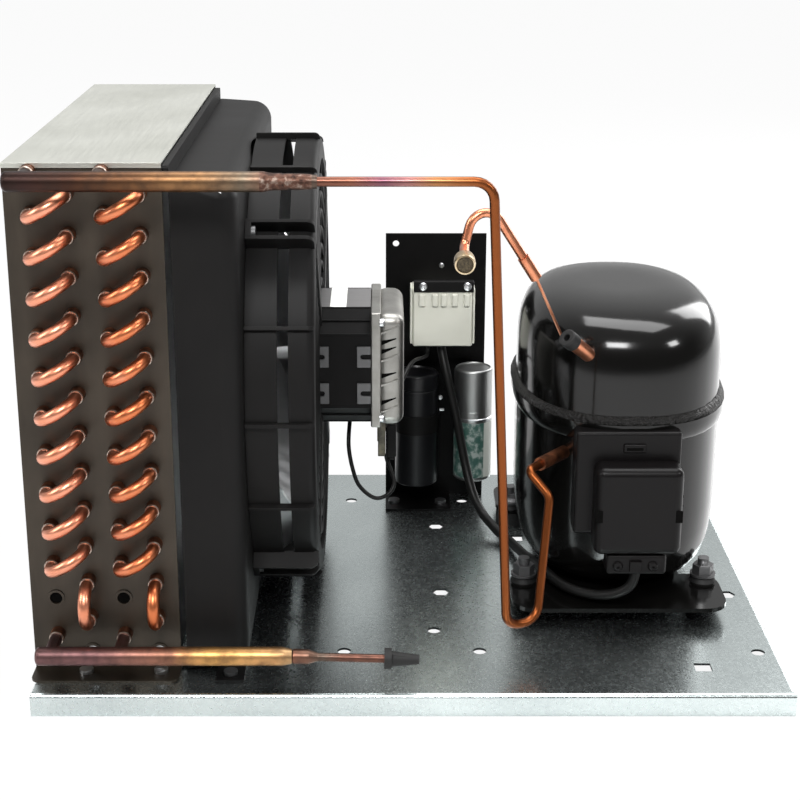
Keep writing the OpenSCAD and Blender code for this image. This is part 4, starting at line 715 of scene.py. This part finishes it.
def band_profile(inner, outer, low, high):
    return [(inner, low), (outer, low), (outer, high), (inner, high), (inner, low)]


def cut_shape(name, outline, depth, rounding):
    piece = drawn_line(name, [Vector(corner) * MM for corner in outline])
    bpy.ops.mesh.edge_face_add()
    bpy.ops.mesh.extrude_region_move(TRANSFORM_OT_translate={"value": Vector(depth) * MM})
    bpy.ops.mesh.select_all(action="SELECT")
    bpy.ops.mesh.normals_make_consistent(inside=False)
    bpy.ops.object.mode_set(mode="OBJECT")
    settle(piece)
    round_edges(piece, rounding * MM, 2, 50.0)
    soften(piece)
    return piece


def copied(piece, turn):
    pick(piece)
    bpy.ops.object.duplicate()
    twin = bpy.context.active_object
    twin.matrix_world = turn
    settle(twin)
    return twin


def about_fan(degrees):
    axis = Vector(FAN_AXIS) * MM
    turn = Matrix.Rotation(math.radians(degrees), 4, "X")
    return Matrix.Translation(axis) @ turn @ Matrix.Translation(-axis)


def joined(pieces, name):
    bpy.ops.object.select_all(action="DESELECT")
    for piece in pieces:
        piece.select_set(True)
    bpy.context.view_layer.objects.active = pieces[0]
    bpy.ops.object.join()
    pieces[0].name = name
    pieces[0].data.name = name
    return pieces[0]


def fit(piece, slot, finish=None, stands_for=()):
    paint(piece, finish or finishes[slot])
    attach(piece, "unit")
    if stands_for:
        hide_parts(*stands_for)


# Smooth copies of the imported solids

def smooth_copy(node, angle=35.0, edge=0.0):
    piece = nodes[node].copy()
    piece.data = nodes[node].data.copy()
    piece.parent = None
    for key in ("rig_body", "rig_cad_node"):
        if key in piece:
            del piece[key]
    piece.name = node + "_skin"
    bpy.context.scene.collection.objects.link(piece)
    pick(piece)
    bpy.ops.object.mode_set(mode="EDIT")
    bpy.ops.mesh.select_all(action="SELECT")
    bpy.ops.mesh.remove_doubles(threshold=WELD_DISTANCE)
    bpy.ops.mesh.dissolve_limited(angle_limit=math.radians(FLAT_ANGLE))
    bpy.ops.object.mode_set(mode="OBJECT")
    if edge:
        round_edges(piece, edge * MM, 2, 50.0)
    soften(piece, angle)
    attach(piece, body_of_node[node])
    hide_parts(node)
    if node in own_finish:
        paint(piece, own_finish[node])


for node in (
    "hairpin_tubes", "return_bends", "braze_rings", "upper_header", "lower_header", "liquid_outlet_tube",
    "outlet_cap", "discharge_line", "fan_shroud", "fan_blade", "fan_shaft", "foot_grommets", "foot_bolts",
    "discharge_stub", "suction_connector", "service_tube", "coil_screws", "bracket_screws", "shroud_screws",
):
    smooth_copy(node)
for node, edge in (("control_bracket", 0.4), ("coil_top_cover", 0.3)):
    smooth_copy(node, edge=edge)
for node, angle in (("lower_shell", 50.0), ("upper_shell", 50.0), ("shell_weld", 60.0)):
    smooth_copy(node, angle)


# Fins, in metres

FIN_COUNT = 160
FIN_FOLDS = 16
FIN_WALL = 0.00025
FOLD_DEPTH = 0.0009
FIN_MARGIN = 0.0004
ROW_MARGIN = 0.0022


def make_fins():
    low, high = (Vector(corner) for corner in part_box("fin_pack"))
    width, height = high.x - low.x - FIN_MARGIN, high.z - low.z - FIN_MARGIN
    bpy.ops.object.select_all(action="DESELECT")
    bpy.ops.mesh.primitive_grid_add(x_subdivisions=FIN_FOLDS, y_subdivisions=1, size=1.0)
    fin = bpy.context.active_object
    fin.name = "fin_stack"
    fin.matrix_world = (
        Matrix.Translation(((low.x + high.x) / 2, low.y + FOLD_DEPTH, (low.z + high.z) / 2))
        @ Matrix.Rotation(math.radians(90.0), 4, "X")
        @ Matrix.Diagonal((width, height, 1.0, 1.0))
    )
    settle(fin)
    bpy.ops.object.mode_set(mode="EDIT")
    bpy.ops.mesh.select_all(action="DESELECT")
    bpy.ops.object.mode_set(mode="OBJECT")
    for corner in fin.data.vertices:
        corner.select = round((corner.co.x - low.x) * FIN_FOLDS / width) % 2 == 1
    bpy.ops.object.mode_set(mode="EDIT")
    bpy.ops.transform.translate(value=(0.0, FOLD_DEPTH, 0.0))
    bpy.ops.object.mode_set(mode="OBJECT")
    wall = fin.modifiers.new("wall", "SOLIDIFY")
    wall.thickness = FIN_WALL
    wall.offset = 0.0
    bpy.ops.object.modifier_apply(modifier="wall")
    row = fin.modifiers.new("row", "ARRAY")
    row.count = FIN_COUNT
    row.use_relative_offset = False
    row.use_constant_offset = True
    row.constant_offset_displace = (0.0, (high.y - low.y - ROW_MARGIN) / (FIN_COUNT - 1), 0.0)
    bpy.ops.object.modifier_apply(modifier="row")
    fit(fin, "fin_aluminium", stands_for=("fin_pack",))


make_fins()


# Fan guard, with x towards the compressor and radii from the fan's axis

GUARD_BACK, GUARD_FACE = -105.0, -61.2
RING_INNER, RING_OUTER = 152.6, 155.0
LIP_RADIUS, LIP_X = 149.5, -66.5
WIRE_COUNT, WIRE_GAP, FIRST_WIRE, WIRE_X = 7, 12.2, 54.0, -62.8
BAR_BACK, BAR_COUNT = -64.6, 16
ARM_OUTER = 140.0
LUG_INNER, LUG_OUTER = 153.5, 166.0


def lip_arc(radius):
    turns = [math.radians(90.0 * k / 6) for k in range(7)]
    return [(LIP_RADIUS + radius * math.cos(turn), LIP_X + radius * math.sin(turn)) for turn in turns]


def wire_profile(middle):
    turns = [math.tau * k / 8 for k in range(9)]
    return [(middle + 1.2 * math.cos(turn), WIRE_X + 1.4 * math.sin(turn)) for turn in turns]


def make_guard():
    back_ring = band_profile(RING_INNER, RING_OUTER, GUARD_BACK, -84.5)
    front_ring = [
        (RING_INNER, -77.5), (RING_OUTER, -77.5), *lip_arc(5.5), (139.0, -61.0), (139.0, -63.4),
        *reversed(lip_arc(3.1)), (RING_INNER, -77.5),
    ]
    parts = [
        turned("guard_ring_back", FAN_AXIS, RIGHT, back_ring, 128, 0.4),
        turned("guard_ring_front", FAN_AXIS, RIGHT, front_ring, 128),
    ]
    for k in range(WIRE_COUNT):
        parts.append(turned("guard_wire", FAN_AXIS, RIGHT, wire_profile(FIRST_WIRE + WIRE_GAP * k), 96))
    rib = corner_plate("guard_rib", (GUARD_BACK, 8.2, FAN_Z + 154.0), (GUARD_FACE, 10.8, FAN_Z + 158.5), 4.0)
    bar = block("guard_bar", (BAR_BACK, 8.6, FAN_Z + 51.0), (-62.6, 10.4, FAN_Z + ARM_OUTER))
    for k in range(BAR_COUNT):
        turn = about_fan(360.0 * k / BAR_COUNT)
        if k % 4 != 2:
            parts.append(copied(rib, turn))
        parts.append(copied(bar, turn))
    lug_low, lug_high = FAN_Z + LUG_INNER, FAN_Z + LUG_OUTER
    walls = [
        corner_plate("guard_lug", (GUARD_BACK, 2.0, lug_low), (GUARD_FACE, 4.6, lug_high), 6.0),
        corner_plate("guard_lug", (GUARD_BACK, 14.4, lug_low), (GUARD_FACE, 17.0, lug_high), 6.0),
        block("guard_lug_floor", (GUARD_BACK, 3.0, lug_low), (-101.0, 16.0, lug_high)),
        block("guard_arm", (BAR_BACK, 3.5, FAN_Z + 50.0), (-60.2, 15.5, FAN_Z + ARM_OUTER), 1.2, 3),
    ]
    for k in range(4):
        parts.extend(copied(wall, about_fan(45.0 + 90.0 * k)) for wall in walls)
    parts.append(turned("guard_eye", FAN_AXIS, RIGHT, band_profile(50.2, 53.4, -66.2, -62.2), 96, 0.4))
    for spare in [rib, bar, *walls]:
        bpy.data.objects.remove(spare)
    fit(joined(parts, "fan_guard_skin"), "black_plastic", stands_for=("fan_guard",))


make_guard()


# Controls

TOOTH_PLACES = (11.9, 22.0, 28.9, 37.4, 46.7)
START_PLACE = (8.5, 124.0, 0.0)
RUN_PLACE = (53.5, 129.0, 0.0)
STRAP_LOW, STRAP_HIGH = 81.0, 96.0


def make_terminal_box():
    shell = [
        block("box_body", (4.6, 117.0, 152.4), (51.4, 149.0, 195.4), 1.0, 3),
        block("box_front", (5.2, 114.6, 152.0), (51.0, 118.0, 196.6), 1.2, 3),
        block("box_left", (3.0, 115.2, 154.0), (4.6, 136.0, 198.0), 0.6),
        block("box_right", (51.4, 115.2, 154.0), (53.0, 136.0, 198.0), 0.6),
    ]
    for x in TOOTH_PLACES:
        shell.append(block("box_tooth", (x - 2.6, 112.7, 184.0), (x + 2.6, 116.0, 194.6), 1.5, 3))
    fit(joined(shell, "terminal_box_skin"), "grey_plastic", stands_for=("terminal_box",))
    bar = block("terminal_clamp_skin", (5.5, 113.4, 195.6), (52.0, 119.6, 204.4), 0.8, 3)
    fit(bar, "clamp_plastic", finishes["black_plastic"], ("terminal_clamp",))
    for x in (12.7, 46.9):
        head = turned("clamp_screw", (x, 113.6, 200.2), FRONT, [
            (0.0, -0.6), (3.3, -0.6), (3.3, 0.4), (2.6, 1.3), (1.2, 1.6), (1.0, 0.9), (0.0, 0.9),
        ], 32)
        fit(head, "zinc_steel")


def make_capacitors():
    can = turned("start_capacitor_skin", START_PLACE, UP, [
        (0.0, 37.0), (15.8, 37.0), (17.0, 38.2), (17.0, 115.6), (16.5, 116.2), (16.5, 116.8), (17.3, 117.4),
        (17.3, 127.0), (16.4, 128.5), (14.8, 129.0), (14.2, 127.8), (0.0, 127.8),
    ])
    fit(can, "gloss_black_plastic", stands_for=("start_capacitor",))
    can = turned("run_capacitor_skin", RUN_PLACE, UP, [
        (0.0, 39.0), (13.8, 39.0), (15.0, 40.2), (15.0, 96.5), (14.7, 97.0), (15.0, 97.5), (15.0, 129.2),
        (14.2, 130.6), (13.4, 131.0), (12.9, 130.2), (0.0, 129.8),
    ])
    fit(can, "can_aluminium", stands_for=("run_capacitor",))
    sleeve = turned("run_capacitor_band", RUN_PLACE, UP, [
        (14.9, 42.0), (15.12, 42.2), (15.12, 88.0), (14.9, 88.2),
    ])
    fit(sleeve, "can_aluminium", band_finish)


def make_rivets():
    rivets = []
    for z in (208.5, 99.0):
        rivets.append(turned("bracket_rivet", (28.0, 149.0, z), FRONT, [
            (0.0, -0.4), (2.0, -0.4), (2.0, 0.6), (1.4, 1.3), (0.0, 1.5),
        ], 24))
    rivets.append(block("bracket_tab", (24.6, 148.0, 87.6), (31.4, 149.4, 89.8)))
    fit(joined(rivets, "bracket_rivets"), "zinc_steel")


def make_straps():
    straps = [
        turned("start_strap", START_PLACE, UP, band_profile(17.0, 18.3, STRAP_LOW, STRAP_HIGH), 64, 0.3),
        block("strap_leg", (-9.8, 124.0, STRAP_LOW), (-8.5, 149.0, STRAP_HIGH)),
        block("strap_leg", (25.5, 124.0, STRAP_LOW), (26.8, 149.0, STRAP_HIGH)),
    ]
    fit(joined(straps, "capacitor_straps_skin"), "black_plastic", stands_for=("capacitor_straps",))
    hoop = turned("run_capacitor_hoop", RUN_PLACE, UP, [
        (14.9, 89.4), (15.5, 89.8), (15.5, 91.4), (14.9, 91.8),
    ])
    fit(hoop, "zinc_steel")


make_terminal_box()
make_capacitors()
make_rivets()
make_straps()


# Fan motor

STACK_LEFT, STACK_RIGHT = -65.6, -26.8
SHIELD_FRONT, SHIELD_BACK = -31.4, 50.4
TAB_SLOT = 1.75
TAB_HALF = 7.5


def make_motor_trim():
    sheet = block("motor_top_sheet", (STACK_LEFT, -16.6, 218.6), (STACK_RIGHT, 35.6, 219.3), 0.2)
    fit(sheet, "zinc_steel", sheet_finish)
    band = block("motor_blank_band", (-55.0, -16.8, 219.1), (-43.7, 35.8, 219.5), 0.1)
    fit(band, "clamp_plastic", paper_finish)
    beads = []
    for way in (-1.0, 1.0):
        for lift, set_back in ((34.4, 34.4), (26.5, 41.5), (41.5, 26.5)):
            for side in (-1.0, 1.0):
                spot = (FAN_Y + side * set_back, FAN_Z + way * lift)
                beads.append(rod("stack_bead", (STACK_LEFT, *spot), (STACK_RIGHT, *spot), 0.55, 0.1, 12))
    fit(joined(beads, "stack_beads"), "black_paint")
    screws = []
    for y in (-31.0, 50.0):
        for z in (212.0, 143.0):
            screws.append(turned("shield_screw", (-19.4, y, z), RIGHT, [
                (0.0, -1.0), (3.0, -1.0), (3.0, 1.4), (2.2, 2.4), (0.8, 2.6), (0.8, 1.6), (0.0, 1.6),
            ], 24))
    fit(joined(screws, "shield_screws"), "zinc_steel")


def tab_outline(x_open, x_closed, y, middle):
    way = 1.0 if x_closed > x_open else -1.0
    turn_x = x_open + way * 5.4
    bow = []
    for k in range(9):
        turn = math.pi * k / 8
        bow.append((turn_x + way * TAB_SLOT * math.sin(turn), y, middle + TAB_SLOT * math.cos(turn)))
    return [
        (x_open, y, middle + TAB_SLOT), *bow, (x_open, y, middle - TAB_SLOT), (x_open, y, middle - TAB_HALF),
        (x_closed, y, middle - TAB_HALF), (x_closed, y, middle + TAB_HALF), (x_open, y, middle + TAB_HALF),
    ]


def make_motor_tabs():
    tabs = []
    for y in (-33.5, 51.0):
        for middle in (188.0, 161.5):
            tabs.append(cut_shape("tab_left", tab_outline(-65.7, -55.7, y, middle), (0.0, 1.5, 0.0), 0.3))
            tabs.append(cut_shape("tab_right", tab_outline(-26.7, -36.2, y, middle), (0.0, 1.5, 0.0), 0.3))
    fit(joined(tabs, "motor_tabs_skin"), slot_of_node["motor_tabs"], tab_finish, ("motor_tabs",))


def slanted(name, x_start, x_end, y, start, end, widths, out, rounding):
    outline = [
        (x_start, y, start), (x_start, y, start + widths[0]), (x_end, y, end + widths[1]), (x_end, y, end),
    ]
    return cut_shape(name, outline, (0.0, out, 0.0), rounding)


def make_end_shield():
    shield = [
        block("shield_flange", (-26.7, -32.0, 136.0), (-19.6, 51.0, 219.0), 1.2, 3),
        block("shield_cap", (-23.0, SHIELD_FRONT, 136.8), (-3.7, SHIELD_BACK, 217.4), 7.5, 6),
    ]
    for start, end in ((203.5, 209.0), (183.5, 189.0), (166.0, 171.0), (146.5, 151.5)):
        for y, out in ((SHIELD_FRONT, -0.9), (SHIELD_BACK, 0.9)):
            shield.append(slanted("shield_rib", -19.8, -7.5, y, start, end, (1.6, 0.8), out, 0.3))
    for lift in (-27.0, -9.0, 9.0, 27.0):
        low, high = (-6.0, FAN_Y - 24.0, FAN_Z + lift - 1.0), (-3.7, FAN_Y + 24.0, FAN_Z + lift + 1.0)
        shield.append(block("shield_fin", low, high))
    fit(joined(shield, "motor_end_shield_skin"), "cast_aluminium", stands_for=("motor_end_shield",))
    # Painted shade: thin near-black slanted plates on the shield faces stand in for the shade seen through
    # its vents
    vent_shades = []
    for start, end in ((196.0, 200.5), (189.5, 194.5), (172.0, 176.0), (152.5, 157.5)):
        for y, out in ((-31.0, -0.6), (50.0, 0.6)):
            vent_shades.append(slanted("shield_vent_shade", -19.2, -9.0, y, start, end, (3.2, 0.6), out, 0.1))
    fit(joined(vent_shades, "shield_vent_shades"), "black_paint", hole_shade_finish)


def make_connector():
    fit(joined([
        block("plug_body", (-21.7, 2.5, 103.0), (-16.4, 16.5, 130.0), 0.6),
        block("plug_step", (-21.9, 4.0, 101.3), (-17.0, 15.0, 110.0), 0.6),
        block("plug_latch", (-22.4, 6.5, 112.0), (-21.0, 12.5, 126.0)),
    ], "motor_connector_skin"), slot_of_node["motor_connector"], olive_finish, ("motor_connector",))
    fit(joined([
        block("socket_body", (-15.4, 2.5, 101.3), (-8.6, 16.5, 126.0), 0.8),
        block("socket_neck", (-14.4, 3.5, 98.6), (-9.6, 15.5, 104.0), 0.8),
    ], "motor_socket"), "black_plastic")
    pins = []
    for x in (-20.6, -18.2, -13.2, -10.6):
        pins.append(block("plug_pin", (x, 7.0, 124.0), (x + 1.1, 12.0, 136.4), 0.2))
    fit(joined(pins, "motor_pins"), "zinc_steel")


make_motor_trim()
make_motor_tabs()
make_end_shield()
make_connector()


# Coil and compressor fittings

UPPER_HEADER = (0.0, -189.0, 340.2)
VALVE_PLACE, VALVE_WAY = (32.1, -139.2, 279.0), (0.0, -0.99, -0.12)
SUCTION_PLACE, SUCTION_WAY = (104.5, -83.2, 214.8), (-0.6, -0.55, 0.58)
EMPTY_HOLES = ((-227.5, -159.1, 65.6), (-184.2, -159.1, 65.6))


def make_joint_braze():
    fit(turned("upper_joint_braze", UPPER_HEADER, RIGHT, [
        (5.9, -90.5), (5.98, -88.4), (5.9, -86.4), (5.2, -83.6), (4.9, -81.0), (4.95, -77.0), (4.6, -72.0),
        (4.7, -67.0), (4.5, -62.0), (4.3, -59.0),
    ], 48), "braze", joint_finish)


def make_terminal_cover():
    cover = [
        block("cover_flange", (110.5, -90.2, 80.0), (181.0, -69.9, 153.0), 2.4, 4),
        block("cover_bulge", (122.8, -108.1, 71.0), (181.2, -82.0, 133.0), 6.0, 6),
        block("cover_latch", (142.0, -92.2, 139.0), (157.0, -89.0, 144.8), 0.9, 3),
    ]
    for z in (103.0, 110.0):
        cover.append(rod("cover_nub", (180.6, -96.0, z), (183.2, -96.0, z), 1.2, 0.4, 24))
    fit(joined(cover, "terminal_cover_skin"), "cover_black", stands_for=("terminal_cover",))
    # Painted shade: near-black blocks on the cover's slots and the latch opening stand in for the shade
    # inside them
    slot_shades = [
        block("cover_slot_shade", (123.1, -108.35, 95.5), (127.8, -107.0, 104.0), 0.3),
        block("cover_slot_shade", (176.4, -108.35, 95.5), (180.9, -107.0, 104.0), 0.3),
        block("latch_slot_shade", (144.0, -92.5, 140.8), (155.0, -91.8, 142.8), 0.2),
    ]
    fit(joined(slot_shades, "cover_slot_shades"), "black_rubber", hole_shade_finish)


def make_cord_clamp():
    clamp = [
        block("clamp_base", (132.0, -105.6, 57.0), (172.0, -88.2, 70.8), 2.0, 3),
        block("clamp_square", (147.4, -108.1, 59.4), (155.4, -104.0, 67.4), 0.6),
    ]
    for x in (139.5, 163.0):
        clamp.append(turned("clamp_knob", (x, -105.0, 63.4), FRONT, [
            (0.0, -0.5), (3.4, -0.5), (3.4, 1.6), (2.6, 2.6), (1.0, 2.8), (0.8, 1.6), (0.0, 1.6),
        ], 24))
    fit(joined(clamp, "cord_clamp_skin"), "cover_black", stands_for=("cord_clamp",))


def make_suction_plug():
    plug = turned("suction_plug_skin", SUCTION_PLACE, SUCTION_WAY, [
        (0.0, -4.3), (5.8, -4.3), (6.0, -3.6), (6.0, 3.6), (5.4, 4.4), (2.8, 4.4), (2.3, 3.8), (2.3, -1.0),
        (0.0, -1.0),
    ], 48)
    fit(plug, slot_of_node["suction_plug"], stands_for=("suction_plug",))


def make_service_fitting():
    fitting = turned("service_fitting_skin", VALVE_PLACE, VALVE_WAY, [
        (0.0, -15.6), (3.6, -15.6), (4.4, -13.0), (6.5, -9.0), (6.7, -2.0), (6.3, 0.0), (5.3, 0.3),
        (5.0, -1.0), (0.0, -1.0),
    ], 48)
    fit(fitting, slot_of_node["service_fitting"], brass_finish, ("service_fitting",))
    core = turned("service_core", VALVE_PLACE, VALVE_WAY, [
        (0.0, -1.2), (5.0, -1.2), (5.0, -0.7), (4.6, -0.4), (0.0, -0.4),
    ], 48)
    fit(core, slot_of_node["service_fitting"], core_finish)


# Painted shade: thin near-black discs sit in the empty holes of the end plate, standing in for the shade
# inside the coil
def paint_shade_in_holes():
    shade_discs = []
    for x, y, z in EMPTY_HOLES:
        shade_discs.append(rod("hole_shade_disc", (x, y - 0.4, z), (x, y + 0.4, z), 4.2, 0.1))
    fit(joined(shade_discs, "hole_shade_discs"), "black_rubber", hole_shade_finish)


make_joint_braze()
make_terminal_cover()
make_cord_clamp()
make_suction_plug()
make_service_fitting()
paint_shade_in_holes()


# Studio, in metres, and watts for its lamps

SKY_BASE = 0.12
PAPER_GLOW = 0.93


def surround(world):
    where = add_node(world, "ShaderNodeTexCoord")
    split = add_node(world, "ShaderNodeSeparateXYZ")
    join(world, where.outputs["Generated"], split.inputs["Vector"])
    total = SKY_BASE
    # The sky grows brighter by high at most, from start to end along each axis
    for axis, start, end, high in ((1, -0.1, 0.9, 0.50), (2, 0.25, 1.0, 0.45), (0, -0.2, -1.0, 0.20)):
        share = between(world, split.outputs[axis], 0.0, high, start, end, "SMOOTHSTEP")
        total = combined(world, share, total)
    ray = add_node(world, "ShaderNodeLightPath")
    seen = combined(world, ray.outputs["Is Camera Ray"], total, "MAXIMUM")
    sky = world.node_tree.nodes["Background"]
    sky.inputs["Color"].default_value = (1.0, 1.0, 1.0, 1.0)
    join(world, seen, sky.inputs["Strength"])


def studio_paper():
    paper = plain_finish("studio_paper", (0.72, 0.72, 0.72), 0.9)
    glow = add_node(paper, "ShaderNodeEmission", {"Strength": 1.0})
    ray = add_node(paper, "ShaderNodeLightPath")
    share = combined(paper, ray.outputs["Is Camera Ray"], PAPER_GLOW, "MULTIPLY")
    blend = add_node(paper, "ShaderNodeMixShader")
    for socket, value in zip(blend.inputs, (share, shader_of(paper).outputs[0], glow.outputs[0])):
        join(paper, value, socket)
    join(paper, blend.outputs[0], paper.node_tree.nodes["Material Output"].inputs["Surface"])
    return paper


def set_studio():
    bpy.ops.mesh.primitive_plane_add(size=30.0, location=(0.0, 6.0, 0.0))
    floor = bpy.context.active_object
    floor.name = "studio_floor"
    paint(floor, studio_paper())
    for name, place, aim, size, power in (
        ("front_box", (-0.15, -1.6, 1.62), (0.08, 0.0, 0.15), (0.8, 0.42), 39.0),
        ("right_box", (1.62, -0.98, 1.36), (0.1, 0.0, 0.15), (0.5, 0.34), 15.0),
        ("left_box", (-1.8, -0.6, 1.2), (0.0, 0.0, 0.15), (0.8, 1.0), 22.0),
        ("top_panel", (0.2, 0.3, 2.1), (0.05, 0.0, 0.1), (1.8, 0.9), 42.0),
        ("back_panel", (1.3, 1.5, 1.0), (0.1, 0.0, 0.15), (0.7, 1.4), 22.0),
    ):
        panel = bpy.data.lights.new(name, "AREA")
        panel.shape = "RECTANGLE"
        panel.size, panel.size_y = size
        panel.energy = power
        light = bpy.data.objects.new(name, panel)
        bpy.context.scene.collection.objects.link(light)
        light.location = place
        light.rotation_euler = (Vector(aim) - Vector(place)).to_track_quat("-Z", "Y").to_euler()
    world = bpy.data.worlds.new("studio")
    world.use_nodes = True
    surround(world)
    bpy.context.scene.world = world
    bpy.context.scene.view_settings.view_transform = "Standard"


set_studio()
